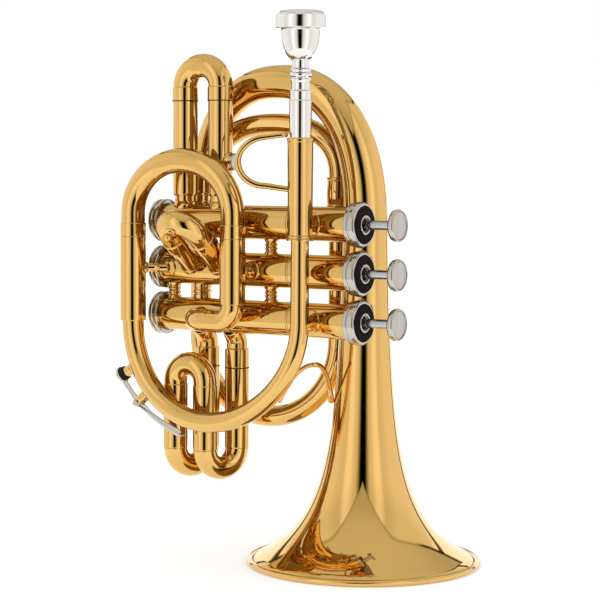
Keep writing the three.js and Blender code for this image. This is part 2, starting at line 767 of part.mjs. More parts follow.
/** A short stud with a round foot, on the +X side of a tube of the first slide. */
function stud(x) {
  const footEnd = firstSleeveR + studFootLength;
  const post = aim(turned([
    [0, 0], [studR, 0], [studR, footEnd], [studHeadR, footEnd + touchGap],
    [studHeadR, firstSleeveR + studLength], [0, firstSleeveR + studLength],
  ], smallSides), point(x, 0, studZ), point(x + 1, 0, studZ));
  const middleOfWall = (firstBoreR + firstSleeveR) / 2;
  const inside = barrel(middleOfWall, studZ - 2 * studR, studZ + 2 * studR).translate(x, 0, 0);
  const back = new THREE.BoxGeometry(2 * firstSleeveR, 2 * firstSleeveR, 4 * studR)
    .translate(x - firstSleeveR, 0, studZ);
  return cut(post, inside, back);
}

function buildFirstSlide() {
  const stubBoreR = firstStubR - wall;
  [['left', firstLeftX], ['right', firstRightX]].forEach(([side, x]) => {
    const sleeve = turned([
      [stubBoreR, valveZ[0]], [firstStubR, valveZ[0]], [firstStubR, firstStubTopZ - wall],
      [firstSleeveR, firstStubTopZ], [firstSleeveR, firstSleeveTopZ], [firstBoreR, firstSleeveTopZ],
      [firstBoreR, firstStubTopZ + 2 * wall], [stubBoreR, firstStubTopZ + wall],
    ]);
    sleeve.translate(x, 0, 0);
    const whole = side === 'right' ? join(sleeve, stud(x)) : sleeve;
    place(`first_sleeve_${side}`, cut(whole, casingTool(valveZ[0])), lacqueredBrass);
  });
  const slide = slideLoop((firstRightX - firstLeftX) / 2, {
    legLow: firstStubTopZ + innerLegStop, legR: firstInnerR, bore: firstInnerR - innerLegWall,
    collarLow: firstSleeveTopZ + touchGap, collarTop: firstCollarTopZ, collarR: firstCollarR,
    straightTop: firstCollarTopZ + touchGap, bowR: firstBowR, rise: firstBowRise, steps: slideBowSteps,
  });
  place('first_slide', slide.translate((firstRightX + firstLeftX) / 2, 0, 0), lacqueredBrass);
}

function buildSecondSlide() {
  const lay = (geometry, side) => geometry.rotateX(Math.PI / 2 - secondTilt)
    .translate(secondMiddleX + side * secondHalfPitch, secondRootY, secondRootZ);
  [['left', -1], ['right', 1]].forEach(([name, side]) => {
    const sleeve = lay(barrel(secondR, 0, secondSleeveEnd, secondBoreR), side);
    place(`second_sleeve_${name}`, cut(sleeve, casingTool(valveZ[1])), lacqueredBrass);
  });
  const slide = slideLoop(secondHalfPitch, {
    legLow: casingR, legR: secondInnerR, bore: secondInnerR - innerLegWall,
    collarLow: secondSleeveEnd + touchGap, collarTop: secondCollarEnd, collarR: secondCollarR,
    straightTop: secondStraightEnd, bowR: secondR, rise: secondBowRise, steps: slideBowSteps,
  });
  const knob = aim(turned([
    [0, 0], [knobFootR, 0], [knobFootR, knobFootLength], [knobNeckR, knobFootLength + touchGap],
    [knobNeckR, knobFootLength + knobR / 2], [knobR, knobFootLength + knobR],
    [knobR, knobFootLength + 2 * knobR], [knobNeckR, knobFootLength + 2.5 * knobR],
    [0, knobFootLength + 2.5 * knobR],
  ], smallSides), point(...knobFrom), point(...knobTo));
  place('second_slide', lay(join(slide, knob), 0), lacqueredBrass);
}

function buildThirdSlide() {
  const stems = [
    ['right', thirdBackRightX],
    ['left', thirdBackLeftX],
  ];
  stems.forEach(([side, x]) => {
    const low = point(x, thirdBackY, thirdStemLowZ);
    const bendAt = point(x, thirdBackY, thirdStemBendZ);
    const inside = point(x, 0, valveZ[2]);
    const turnEnd = bendAt.clone().lerp(inside, thirdStemTurnShare);
    const turn = point(x, thirdBackY, (thirdStemBendZ + turnEnd.z) / 2);
    const route = new Route(straight(low, bendAt), corner(bendAt, turn, turnEnd), straight(turnEnd, inside));
    const length = route.getLength();
    const bore = thirdStemR - thirdStemWall;
    const outer = marksOf(route, thirdStemSteps).map((share) => [thirdStemR, share * length]);
    const collar = [
      [thirdStemR, thirdCollarLowZ - thirdStemLowZ], [thirdCollarR, thirdCollarLowZ - thirdStemLowZ],
      [thirdCollarR, thirdCollarTopZ - thirdStemLowZ], [thirdStemR, thirdCollarTopZ - thirdStemLowZ],
    ];
    outer.splice(1, 0, ...collar);
    const inner = marksOf(route, thirdStemSteps).map((share) => [bore, share * length]).reverse();
    const stem = bent([...outer, ...inner], route, point(1, 0, 0), smallSides);
    place(`third_stem_${side}`, cut(stem, casingTool(valveZ[2])), lacqueredBrass);
    const tube = barrel(thirdTubeR, thirdTubeLowZ, thirdCollarLowZ - touchGap, thirdTubeBoreR);
    place(`third_tube_${side}`, tube.translate(x, thirdBackY, 0), lacqueredBrass);
  });

  const leftLow = point(thirdFrontLeftX, thirdFrontY, thirdTubeLowZ);
  const leftHigh = point(thirdFrontLeftX, thirdFrontY, thirdLoopTopZ);
  const rightHigh = point(thirdFrontRightX, thirdFrontY, thirdLoopTopZ);
  const rightLow = point(thirdFrontRightX, thirdFrontY, thirdTubeLowZ);
  const loop = new Route(straight(leftLow, leftHigh), new HalfBow(leftHigh, rightHigh, thirdLoopRise),
    straight(rightHigh, rightLow));
  const loopMarks = marksOf(loop, [1, slideBowSteps, 1]);
  const upper = bentTube(loop, thirdBowR, thirdBowR, wall, loopMarks, point(0, 1, 0));
  place('third_upper_loop', upper, lacqueredBrass);

  const under = (name, front, backX) => {
    const start = front.clone().setZ(thirdTubeLowZ - touchGap);
    const end = point(backX, thirdBackY, start.z);
    const route = new Route(new HalfBow(start, end, -thirdBowDrop));
    const across = new THREE.Vector3().crossVectors(Z, end.clone().sub(start)).normalize();
    const marks = marksOf(route, [slideBowSteps]);
    place(name, bentTube(route, thirdBowR, thirdBowR, wall, marks, across), lacqueredBrass);
  };
  under('third_bow_right', rightLow, thirdBackRightX);
  under('third_bow_left', leftLow, thirdBackLeftX);
}

// Braces
/** A turned post between two tubes' axes, with a groove round the middle of the gap between them. */
function grooved(from, to, fromR, toR, footR, waistR) {
  const length = from.distanceTo(to);
  const far = length - toR;
  const step = (far - fromR) * braceGrooveShare;
  const profile = [
    [0, 0], [footR, 0], [footR, fromR + step], [waistR, fromR + step],
    [waistR, far - step], [footR, far - step], [footR, length], [0, length],
  ];
  return aim(turned(profile, smallSides), from, to);
}

function upright(x, y, radius, low, high) {
  return barrel(radius + touchGap, low, high, 0, roundSides).translate(x, y, 0);
}

function buildBraces() {
  const spread = 2 * braceFootR;
  const receiverTool = upright(pipeX, pipeY, receiverRingR, receiverLowZ - touchGap, receiverTopZ);
  const pipeBraces = [
    { number: 1, z: valveZ[0], pipeR: receiverRingR, pipeTool: receiverTool },
    { number: 3, z: valveZ[2], pipeR: leadpipeR, pipeTool: leadpipeTool() },
  ];
  pipeBraces.forEach(({ number, z, pipeR, pipeTool }) => {
    const post = grooved(point(pipeX, pipeY, z), point(pipeX, 0, z), pipeR, casingR, braceFootR, braceR);
    place(`leadpipe_brace_${number}`, cut(post, casingTool(z), pipeTool), lacqueredBrass);
  });

  const z = valveZ[1];
  const sleeveBraces = [
    ['right', tuningRightX, sleeveBraceRightX],
    ['left', tuningLeftX, sleeveBraceLeftX],
  ];
  sleeveBraces.forEach(([side, x, footX]) => {
    const start = point(x, pipeY, z);
    const landing = point(footX, -casingR, z);
    const length = start.distanceTo(landing);
    const middle = (sleeveR + length) / 2;
    const post = aim(turned([
      [0, 0], [sleeveBraceR, 0], [sleeveBraceR, middle - braceFootDepth], [sleeveBraceR * 1.5, middle],
      [sleeveBraceR, middle + braceFootDepth], [sleeveBraceR, length], [0, length],
    ], smallSides), start, landing);
    const foot = aim(barrel(sleeveBraceFootR, 0, casingR + braceFootDepth, 0, smallSides),
      point(footX, 0, z), point(footX, -1, z));
    const sleeve = upright(x, pipeY, sleeveR, z - spread, z + spread);
    const capEnd = casingLowX + bottomCapSkirt + touchGap;
    const bottomCap = aim(barrel(bottomCapR + touchGap, bottomCapEndX, capEnd), point(0, 0, z), point(1, 0, z));
    place(`sleeve_brace_${side}`, cut(join(post, foot), casingTool(z), sleeve, bottomCap), lacqueredBrass);
  });

  [[1, valveZ[0]], [3, valveZ[2]]].forEach(([number, height]) => {
    const post = grooved(point(bellX, bellY, height), point(bellX, 0, height),
      bellRadius(height), casingR, bellBraceFootR, bellBraceR);
    const tailR = bellRadius(height - bellBraceFootR) + 2 * touchGap;
    const tail = barrel(tailR, height - spread, height + spread, 0, bellSides)
      .rotateZ(Math.PI / bellSides).translate(bellX, bellY, 0);
    place(`bell_brace_${number}`, cut(post, casingTool(height), tail), lacqueredBrass);
  });
}

/** The S-shaped rod from the leadpipe's bow, up and over to the front of the bell. */
function buildSBrace() {
  const foot = point(sBraceFootX, sBraceFootY, sBraceFootZ);
  const crown = point(sBraceCrownX, sBraceCrownY, sBraceCrownZ);
  const endR = bellRadius(sBraceEndZ) + sBraceR + touchGap;
  const [endX, endY] = [endR * Math.cos(sBraceEndAngle), endR * Math.sin(sBraceEndAngle)];
  const end = point(bellX - endX, bellY - endY, sBraceEndZ);
  const shoulder = crown.clone().lerp(foot, sBraceRoundShare).setZ(crown.z);
  const brow = crown.clone().lerp(end, 1 - sBraceRoundShare).setX(crown.x + sBraceR).setZ(crown.z);
  const route = new Route(new THREE.QuadraticBezierCurve3(foot, shoulder, crown),
    new THREE.QuadraticBezierCurve3(crown, brow, end));
  place('s_brace', rod(route, sBraceR, sBraceSteps), lacqueredBrass);
}

// Finger hook
function buildHook() {
  const out = point(-Math.cos(hookOutAngle), -Math.sin(hookOutAngle), 0);
  const at = (distance, z) => point(pipeX, pipeY, z).addScaledVector(out, distance);
  const sideZ = (hookTopZ + hookLowZ) / 2;
  const lowZ = hookLowZ + hookR;
  const highZ = hookTopZ - 2 * hookR;
  const lowBend = at(hookReach * hookLowShare, lowZ);
  const highBend = at(hookReach * hookHighShare, hookTopZ - hookR);
  const route = new Route(
    straight(at(receiverR + touchGap, hookLowZ), lowBend),
    corner(lowBend, at(hookReach, lowZ), at(hookReach, sideZ)),
    corner(at(hookReach, sideZ), at(hookReach, highZ), highBend),
    straight(highBend, at(hookEndReach, hookTopZ)));
  const length = route.getLength();
  const outline = marksOf(route, [1, hookBendSteps, hookBendSteps, 1])
    .map((share) => [THREE.MathUtils.lerp(hookFootR, hookEndR, share), share * length]);
  outline.splice(-1, 1, [hookEndR, length - hookTipR * 2], [hookTipR, length - hookTipR],
    [hookTipR * 0.7, length]);
  const wire = bent([[0, 0], ...outline, [0, length]], route, point(out.y, -out.x, 0), rodSides);
  const receiver = upright(pipeX, pipeY, receiverR, receiverLowZ, receiverTopZ);
  place('finger_hook', cut(wire, receiver), lacqueredBrass);
}

// Water key
const bowMiddle = point((pipeX + tuningLeftX) / 2, keyY, leadBowTopZ - leadBowEndDrop / 2);
const nipple = point(keyNippleX, keyY, keyNippleZ);
const inward = bowMiddle.clone().sub(nipple).normalize();

/** The short tube on the leadpipe's bow that the water key's cork closes. */
function waterNipple() {
  const bowSurface = (pipeX - tuningLeftX) / 2 + (leadpipeR + leadpipeEndR) / 2;
  const top = nipple.distanceTo(bowMiddle) - bowSurface + leadpipeR / 3;
  return aim(barrel(keyNippleR, 0, top, keyNippleBoreR, smallSides), nipple, bowMiddle);
}

function buildWaterKey() {
  const pivot = point(keyPivotX, keyY, keyPivotZ);
  const blade = point(keyBladeX, keyY, keyBladeZ);
  const atNipple = (distance) => nipple.clone().addScaledVector(inward, distance);
  const sideways = (from, halfLength, radius, bore = 0) => aim(
    barrel(radius, -halfLength, halfLength, bore, smallSides), from, from.clone().setY(from.y + 1));
  const bar = (from, to, halfWidth, thickness) => {
    const box = new THREE.BoxGeometry(thickness, 2 * halfWidth, from.distanceTo(to));
    return aim(box.translate(0, 0, from.distanceTo(to) / 2), from, to);
  };

  const cupBack = atNipple(-keyCorkDepth - keyCupDepth);
  const cupBody = aim(turned([
    [0, 0], [keyCupR * 0.7, 0], [keyCupR, keyCupDepth * 0.5], [keyCupR, keyCupDepth - touchGap],
    [0, keyCupDepth - touchGap],
  ], smallSides), cupBack, nipple);
  const hubR = keyPinR + keyHubWall;
  const flatBar = (from, to) => bar(from, to, keyArmHalfWidth, keyArmThickness);
  const arm = flatBar(cupBack.clone().addScaledVector(inward, keyArmThickness), pivot);
  const elbow = point(keyElbowX, keyY, keyElbowZ);
  const lever = join(flatBar(pivot, elbow), flatBar(elbow, blade),
    sideways(elbow, keyArmHalfWidth, keyArmThickness / 2));
  const tip = sideways(blade, keyArmHalfWidth, keyArmThickness);
  const hub = sideways(pivot, keyArmHalfWidth, hubR);
  const pinHole = sideways(pivot, 2 * keyArmHalfWidth, keyPinR + touchGap);
  place('water_key_lever', cut(join(hub, arm, lever, tip, cupBody), pinHole), nickel);
  const corkEnd = keyCorkDepth + keyCupDepth - touchGap;
  place('water_key_cork', aim(barrel(keyCorkR, keyCupDepth, corkEnd, 0, smallSides), cupBack, nipple), cork);

  const towardsBow = bowMiddle.clone().sub(pivot).normalize();
  const onPost = (distance) => pivot.clone().addScaledVector(towardsBow, distance);
  const earMiddle = keyArmHalfWidth + touchGap + keyEarThickness / 2;
  const ears = [-earMiddle, earMiddle].map((side) => {
    const shift = (at) => at.setY(at.y + side);
    return join(bar(shift(onPost(0)), shift(onPost(keyPostLength)), keyEarThickness / 2, 2 * keyEarR),
      sideways(shift(onPost(0)), keyEarThickness / 2, keyEarR));
  });
  const baseHalfWidth = earMiddle + keyEarThickness / 2;
  const base = bar(onPost(keyPostLength - keyBaseDepth), onPost(keyPostLength), baseHalfWidth, keyBaseLength);
  const pin = sideways(pivot, earMiddle + keyEarThickness, keyPinR);
  place('water_key_saddle', cut(join(base, pin, ...ears), leadpipeTool()), lacqueredBrass);
}

buildValves();
buildBell();
buildWrap();
buildMouthpiece();
buildLeadpipe();
buildTuningSlide();
buildElbow();
buildFirstSlide();
buildSecondSlide();
buildThirdSlide();
buildBraces();
buildSBrace();
buildHook();
buildWaterKey();

export default trumpet;
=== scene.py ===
"""Pocket trumpet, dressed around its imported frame: lacquered brass, silver plate, nickel and felt.

Sizes are millimetres from the middle valve's axis: +X along the valves to the finger buttons,
-Y to the mouthpiece pipe, +Z up. Every finished mesh is in metres, in the frame's own axes.
"""

import logging
import math
from bisect import bisect_left
from collections.abc import Callable
from dataclasses import dataclass
from enum import Enum

import bmesh
import bpy
from mathutils import Matrix, Vector


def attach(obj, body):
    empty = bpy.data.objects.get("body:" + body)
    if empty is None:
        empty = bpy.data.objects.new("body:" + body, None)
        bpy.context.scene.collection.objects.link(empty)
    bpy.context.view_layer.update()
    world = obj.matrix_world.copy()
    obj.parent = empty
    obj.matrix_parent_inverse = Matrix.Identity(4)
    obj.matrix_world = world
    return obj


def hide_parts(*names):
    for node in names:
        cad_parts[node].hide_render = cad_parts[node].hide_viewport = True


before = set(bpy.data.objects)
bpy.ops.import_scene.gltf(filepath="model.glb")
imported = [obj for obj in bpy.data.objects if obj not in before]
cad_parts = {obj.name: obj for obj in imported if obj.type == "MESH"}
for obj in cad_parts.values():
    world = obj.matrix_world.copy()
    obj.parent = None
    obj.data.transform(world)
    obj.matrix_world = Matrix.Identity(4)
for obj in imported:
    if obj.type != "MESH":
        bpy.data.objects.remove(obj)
log = logging.getLogger("pocket_trumpet")

Mesh = bmesh.types.BMesh
Socket = bpy.types.NodeSocket
Colour = tuple[float, float, float]
Profile = list[tuple[float, float]]
Inputs = dict[str | int, float | tuple[float, ...] | Vector | Socket]
Part = Callable[[float], Vector]

MILLIMETRE = 0.001
SHARP_EDGE = math.radians(48)
VALVES_AT = Vector((6.55, -19.87, 0.0))
VALVE_Z = (181.9, 156.5, 131.1)
CASING_R = 9.2
IN_CASING_R = CASING_R - 0.15
PIPE_Y = -19.0
LEG_WALL = 0.6
TUBE_WALL = 0.8
X_AXIS, Y_AXIS, Z_AXIS = Vector((1, 0, 0)), Vector((0, 1, 0)), Vector((0, 0, 1))


# Lines in space
def straight(start: Vector, end: Vector) -> Part:
    """A straight run between two points."""
    return lambda share: start.lerp(end, share)


def half_bow(start: Vector, end: Vector, rise: float, lean: float = 0.0, squareness: float = 2.0) -> Part:
    """Half an ellipse between two points, as a bow's middle line.

    Args:
        start: Where the bow begins.
        end: Where it ends.
        rise: Height of its crown over the ends, negative for a bow that hangs.
        lean: How far the crown leans along Y.
        squareness: 2 for an ellipse, more for fuller shoulders.

    Returns:
        The point at a share of the bow.
    """
    power = 2 / squareness

    def place(share: float) -> Vector:
        along, up = math.cos(math.pi * share), abs(math.sin(math.pi * share))
        at = start.lerp(end, (1 - math.copysign(abs(along) ** power, along)) / 2)
        return at + Vector((0, lean * up ** 2, rise * up ** power))
    return place


def corner(start: Vector, around: Vector, end: Vector) -> Part:
    """A rounded corner between two points, close to a circular arc."""
    arc_share = 0.5523
    first, second = start.lerp(around, arc_share), end.lerp(around, arc_share)

    def place(share: float) -> Vector:
        rest = 1 - share
        return (start * rest ** 3 + first * (3 * share * rest ** 2)
                + second * (3 * share ** 2 * rest) + end * share ** 3)
    return place


def swing(start: Vector, pull: Vector, end: Vector) -> Part:
    """A quadratic curve that leaves towards pull and arrives from it."""
    return lambda share: start.lerp(pull, share).lerp(pull.lerp(end, share), share)


class Route:
    """A line in space that a straight piece is bent along."""

    spacing = 0.4
    rough_steps = 12

    def __init__(self, *parts: Part) -> None:
        """Samples the parts, each of which starts where the one before it ends."""
        self.points = [parts[0](0.0)]
        self.ends: list[float] = []
        self.marks = [0.0]
        for part in parts:
            rough = [part(i / self.rough_steps) for i in range(self.rough_steps + 1)]
            length = sum((b - a).length for a, b in zip(rough, rough[1:]))
            steps = max(2, math.ceil(length / self.spacing))
            for i in range(1, steps + 1):
                point = part(i / steps)
                self.marks.append(self.marks[-1] + (point - self.points[-1]).length)
                self.points.append(point)
            self.ends.append(self.marks[-1])
        self.length = self.marks[-1]

    def at(self, distance: float) -> tuple[Vector, Vector]:
        """The point and the direction at a distance along the line, past its ends too."""
        last = len(self.points) - 2
        i = min(max(bisect_left(self.marks, distance) - 1, 0), last)
        share = (distance - self.marks[i]) / (self.marks[i + 1] - self.marks[i])
        here = self.points[i + 1] - self.points[i]
        near = self.points[max(i - 1, 0) + 1] - self.points[max(i - 1, 0)]
        after = self.points[min(i + 1, last) + 1] - self.points[min(i + 1, last)]
        first = (here.normalized() + near.normalized()).normalized()
        second = (here.normalized() + after.normalized()).normalized()
        point = self.points[i] + here * share
        return point, first.lerp(second, min(max(share, 0.0), 1.0)).normalized()


def u_bend(first: Vector, turn: Vector, back: Vector, last: Vector, rise: float, lean: float = 0.0) -> Route:
    """The line of a bow with a straight run on each side of it."""
    return Route(straight(first, turn), half_bow(turn, back, rise, lean), straight(back, last))


def by_pipe(x: float, z: float) -> Vector:
    """A point in the plane of the mouthpiece pipe and the tuning slide."""
    return Vector((x, PIPE_Y, z))


# Turned and bent shapes
def softened(profile: Profile, radius: float) -> Profile:
    """Rounds the corners of a profile, so that each edge catches a thin line of light.

    Args:
        profile: [radius, height] pairs; one that starts off the axis closes on itself.
        radius: How far from each corner the rounding starts.

    Returns:
        The profile with three points at each corner and one to hold each flat beside it.
    """
    sharp = math.radians(14)
    share = 0.3
    count = len(profile)
    closed = profile[0][0] > 0
    made: Profile = []
    for i, here in enumerate(profile):
        if not closed and i in (0, count - 1):
            made.append(here)
            continue
        before, at, after = (Vector(profile[k % count]) for k in (i - 1, i, i + 1))
        into, out = at - before, after - at
        if into.angle(out) < sharp:
            made.append(here)
            continue
        cut = min(radius, share * into.length, share * out.length)
        start, end = at - into.normalized() * cut, at + out.normalized() * cut
        if into.length > 8 * cut:
            made.append(tuple(start - into.normalized() * cut))
        made += [tuple(start), tuple((start + end) / 4 + at / 2), tuple(end)]
        if out.length > 8 * cut:
            made.append(tuple(end + out.normalized() * cut))
    return made


def refined(profile: Profile, step: float, closed: bool) -> Profile:
    """Splits what is longer than a step, so that a profile can follow a bend."""
    made: Profile = []
    pairs = list(zip(profile, profile[1:])) + ([(profile[-1], profile[0])] if closed else [])
    for (r0, h0), (r1, h1) in pairs:
        pieces = max(1, math.ceil(abs(h1 - h0) / step))
        made += [(r0 + (r1 - r0) * k / pieces, h0 + (h1 - h0) * k / pieces) for k in range(pieces)]
    return made if closed else made + [profile[-1]]


def turned(profile: Profile, sides: int = 48, edge: float = 0.18, step: float = 0.0) -> Mesh:
    """Spins a profile round the Z axis into a closed piece.

    Args:
        profile: [radius, height] pairs; one that starts off the axis closes on itself.
        sides: Steps of the spin.
        edge: Rounding of its corners.
        step: Longest run between two rings, or 0 for no extra rings.

    Returns:
        The piece, in millimetres.
    """
    closed = profile[0][0] > 0
    outline = softened(profile, edge) if edge else profile
    if step:
        outline = refined(outline, step, closed)
    bm = bmesh.new()
    ring = [bm.verts.new((r, 0, h)) for r, h in outline]
    edges = [bm.edges.new(pair) for pair in zip(ring, ring[1:])]
    if closed:
        edges.append(bm.edges.new((ring[-1], ring[0])))
    bmesh.ops.spin(bm, geom=ring + edges, cent=(0, 0, 0), axis=(0, 0, 1),
                   angle=math.tau, steps=sides, use_merge=True)
    bmesh.ops.remove_doubles(bm, verts=bm.verts, dist=1e-4)
    bmesh.ops.recalc_face_normals(bm, faces=bm.faces)
    return bm


def solid(outline: Profile, sides: int = 48, edge: float = 0.18, step: float = 0.0) -> Mesh:
    """Turns a piece without a bore, whose outline leaves the axis at its first and last heights."""
    return turned([(0.0, outline[0][1]), *outline, (0.0, outline[-1][1])], sides, edge, step)


def bend(bm: Mesh, route: Route, sideways: Vector) -> Mesh:
    """Bends a turned piece along a route: its heights become distances along the route.

    Args:
        bm: A piece made about +Z.
        route: The line that its axis follows.
        sideways: A direction that stays across the line all the way.

    Returns:
        The same piece.
    """
    places: dict[float, tuple[Vector, Vector, Vector]] = {}
    for vert in bm.verts:
        height = round(vert.co.z, 4)
        if height not in places:
            middle, along = route.at(height)
            across = sideways.cross(along).normalized()
            places[height] = (middle, across, along.cross(across))
        middle, across, over = places[height]
        vert.co = middle + across * vert.co.x + over * vert.co.y
    bmesh.ops.recalc_face_normals(bm, faces=bm.faces)
    return bm


def aimed(bm: Mesh, start: Vector, end: Vector) -> Mesh:
    """Turns a piece made about +Z so that it runs from one point towards another."""
    turn = Z_AXIS.rotation_difference((end - start).normalized())
    bmesh.ops.transform(bm, matrix=Matrix.Translation(start) @ turn.to_matrix().to_4x4(), verts=bm.verts)
    return bm


def moved(bm: Mesh, x: float, y: float, z: float = 0.0) -> Mesh:
    """Moves a piece, in millimetres."""
    bmesh.ops.translate(bm, vec=(x, y, z), verts=bm.verts)
    return bm


def seated(bm: Mesh, low: float, high: float, radius: float, across: Vector,
           sign: int, offset: float = 0.0) -> Mesh:
    """Curves the foot of a post or tube, so that it sits on a round tube.

    Args:
        bm: A piece made about +Z.
        low: Lowest height of the foot.
        high: Highest height of the foot.
        radius: Radius of the tube it sits on.
        across: Direction at right angles to that tube's axis and to the post's.
        sign: -1 where the tube is below the foot, +1 where it is above.
        offset: How far the post's axis passes beside the tube's.

    Returns:
        The same piece.
    """
    for vert in bm.verts:
        if low - 1e-4 <= vert.co.z <= high + 1e-4:
            beside = min(abs(vert.co.dot(across) + offset), radius * 0.995)
            drop = math.sqrt(radius ** 2 - offset ** 2) - math.sqrt(radius ** 2 - beside ** 2)
            vert.co.z += sign * drop
    return bm


def clear_of_bore(bm: Mesh, z: float) -> Mesh:
    """Ends a tube inside a casing's wall, so that nothing of it reaches the piston.

    Args:
        bm: A piece in its place on the instrument.
        z: Height of the casing's axis.

    Returns:
        The same piece.
    """
    for vert in bm.verts:
        out = Vector((0, vert.co.y, vert.co.z - z))
        if out.length < IN_CASING_R:
            vert.co += out.normalized() * (IN_CASING_R - out.length)
    return bm


def merged(*parts: Mesh) -> Mesh:
    """Puts several shapes in one piece."""
    whole = bmesh.new()
    for part in parts:
        carrier = bpy.data.meshes.new("carrier")
        part.to_mesh(carrier)
        part.free()
        whole.from_mesh(carrier)
        bpy.data.meshes.remove(carrier)
    return whole


def tube(outer: Profile, bore: float | Profile, sides: int = 56, edge: float = 0.18,
         step: float = 0.0) -> Mesh:
    """Turns an open tube.

    Args:
        outer: Its outer line, from low to high.
        bore: The bore's radius, or its line from low to high.
        sides: Steps of the spin.
        edge: Rounding of its corners.
        step: Longest run between two rings, or 0 for no extra rings.

    Returns:
        The tube about +Z.
    """
    if not isinstance(bore, list):
        bore = [(bore, outer[0][1]), (bore, outer[-1][1])]
    return turned(outer + bore[::-1], sides, edge, step)


def bent_tube(route: Route, start_r: float, end_r: float, wall: float, sideways: Vector,
              sides: int = 48) -> Mesh:
    """A tube along a route, of a radius that changes evenly from one end to the other."""
    ends = [(start_r, 0.0), (end_r, route.length)]
    return bend(tube(ends, [(r - wall, h) for r, h in ends], sides, step=1.6), route, sideways)


def bar_along(route: Route, widths: Profile, flat: float, sideways: Vector, sides: int = 24) -> Mesh:
    """A rod along a route, of changing half width, flattened to a share of that width.

    Args:
        route: The rod's middle line.
        widths: [half width, share of the length] pairs.
        flat: Thickness as a share of width.
        sideways: The direction that the width lies in.
        sides: Steps round the rod.

    Returns:
        The closed rod.
    """
    line = [(r, share * route.length) for r, share in widths]
    bm = turned([(0.0, 0.0), *line, (0.0, route.length)], sides, edge=0.12, step=0.7)
    bmesh.ops.scale(bm, vec=(flat, 1, 1), verts=bm.verts)
    return bend(bm, route, sideways)


def ribbed(bm: Mesh, low: float, high: float, least: float, sides: int, depth: float) -> Mesh:
    """Presses every other line of a turned band in, as a fine straight knurl."""
    for vert in bm.verts:
        radius = vert.co.xy.length
        if low <= vert.co.z <= high and radius > least:
            line = round(math.atan2(vert.co.y, vert.co.x) / math.tau * sides)
            if line % 2:
                vert.co.xy *= 1 - depth / radius
    return bm


def on_valve(bm: Mesh, z: float) -> Mesh:
    """Lays a piece made about +Z along +X at a valve's height."""
    return aimed(bm, Vector((0, 0, z)), Vector((1, 0, z)))


def ball(radius: float, middle: float) -> Profile:
    """The outline of a ball on a neck, from the neck round to just before its top."""
    turns = [math.radians(angle) for angle in range(40, 180, 20)]
    return [(radius * math.sin(turn), middle - radius * math.cos(turn)) for turn in turns]


def both_ends(near: Profile, length: float) -> Profile:
    """An outline that ends as it starts."""
    return near + [(r, length - along) for r, along in near[::-1]]


def box(size: tuple[float, float, float], rounding: float, segments: int) -> Mesh:
    """A box about the origin with rounded edges."""
    bm = bmesh.new()
    bmesh.ops.create_cube(bm, size=1)
    bmesh.ops.scale(bm, vec=size, verts=bm.verts)
    bmesh.ops.bevel(bm, geom=bm.edges[:], offset=rounding, segments=segments, affect="EDGES", profile=0.5,
                    material=-1)
    return bm


# Node graphs and finishes
class Graph:
    """Wires the nodes of one material or world."""

    def __init__(self, tree: bpy.types.NodeTree) -> None:
        """Takes the tree that the nodes go in."""
        self.nodes, self.link = tree.nodes, tree.links.new
        self.place = self.new("TexCoord").outputs

    def new(self, kind: str, inputs: Inputs | None = None) -> bpy.types.Node:
        """Adds a shader node and feeds it."""
        node = self.nodes.new(f"ShaderNode{kind}")
        return self.feed(node, inputs or {})

    def feed(self, node: bpy.types.Node, inputs: Inputs) -> bpy.types.Node:
        """Links a node's inputs to sockets, or sets them to constants."""
        for key, given in inputs.items():
            if isinstance(given, Socket):
                self.link(given, node.inputs[key])
            else:
                node.inputs[key].default_value = given
        return node

    def value(self, operation: str, *inputs: float | Socket) -> Socket:
        """The result of a sum on levels."""
        node = self.new("Math")
        node.operation = operation
        return self.feed(node, dict(enumerate(inputs))).outputs["Value"]

    def times(self, first: float | Socket, second: float | Socket) -> Socket:
        """The product of two levels."""
        return self.value("MULTIPLY", first, second)

    def plus(self, first: float | Socket, second: float | Socket) -> Socket:
        """The sum of two levels."""
        return self.value("ADD", first, second)

    def rest(self, level: Socket) -> Socket:
        """What a level lacks to one."""
        return self.value("SUBTRACT", 1.0, level)

    def along(self, source: Socket, axis: Vector) -> Socket:
        """How far a vector reaches along an axis."""
        node = self.new("VectorMath")
        node.operation = "DOT_PRODUCT"
        return self.feed(node, {0: source, 1: axis}).outputs["Value"]

    def ramp(self, source: Socket, start: float, end: float, low: float = 0.0, high: float = 1.0) -> Socket:
        """A level that eases from low to high while its source goes from start to end."""
        node = self.new("MapRange")
        node.interpolation_type = "SMOOTHSTEP"
        return self.feed(node, {"Value": source, "From Min": start, "From Max": end, "To Min": low,
                                "To Max": high}).outputs["Result"]

    def band(self, source: Socket, rise: tuple[float, float], fall: tuple[float, float]) -> Socket:
        """A level of one between two ramps and of zero outside them."""
        return self.times(self.ramp(source, *rise), self.ramp(source, *fall, 1.0, 0.0))

    def darkened(self, level: Socket, line: Socket, depth: float | Socket) -> Socket:
        """A level with a darker line in it."""
        return self.times(level, self.rest(self.times(line, depth)))

    def noise(self, scale: float, detail: float) -> Socket:
        """A noise on the piece's own coordinates, of that many cells a metre."""
        return self.new("TexNoise", {"Vector": self.place["Object"], "Scale": scale,
                                     "Detail": detail}).outputs["Fac"]

    def mixed(self, share: Socket, first: Colour, second: Colour) -> Socket:
        """A colour between two."""
        node = self.new("Mix")
        node.data_type = "RGBA"
        return self.feed(node, {"A": (*first, 1), "B": (*second, 1), "Factor": share}).outputs["Result"]

    def relief(self, height: Socket, strength: float, distance: float) -> Socket:
        """The normal of a surface with a fine relief."""
        return self.new("Bump", {"Height": height, "Strength": strength,
                                 "Distance": distance}).outputs["Normal"]


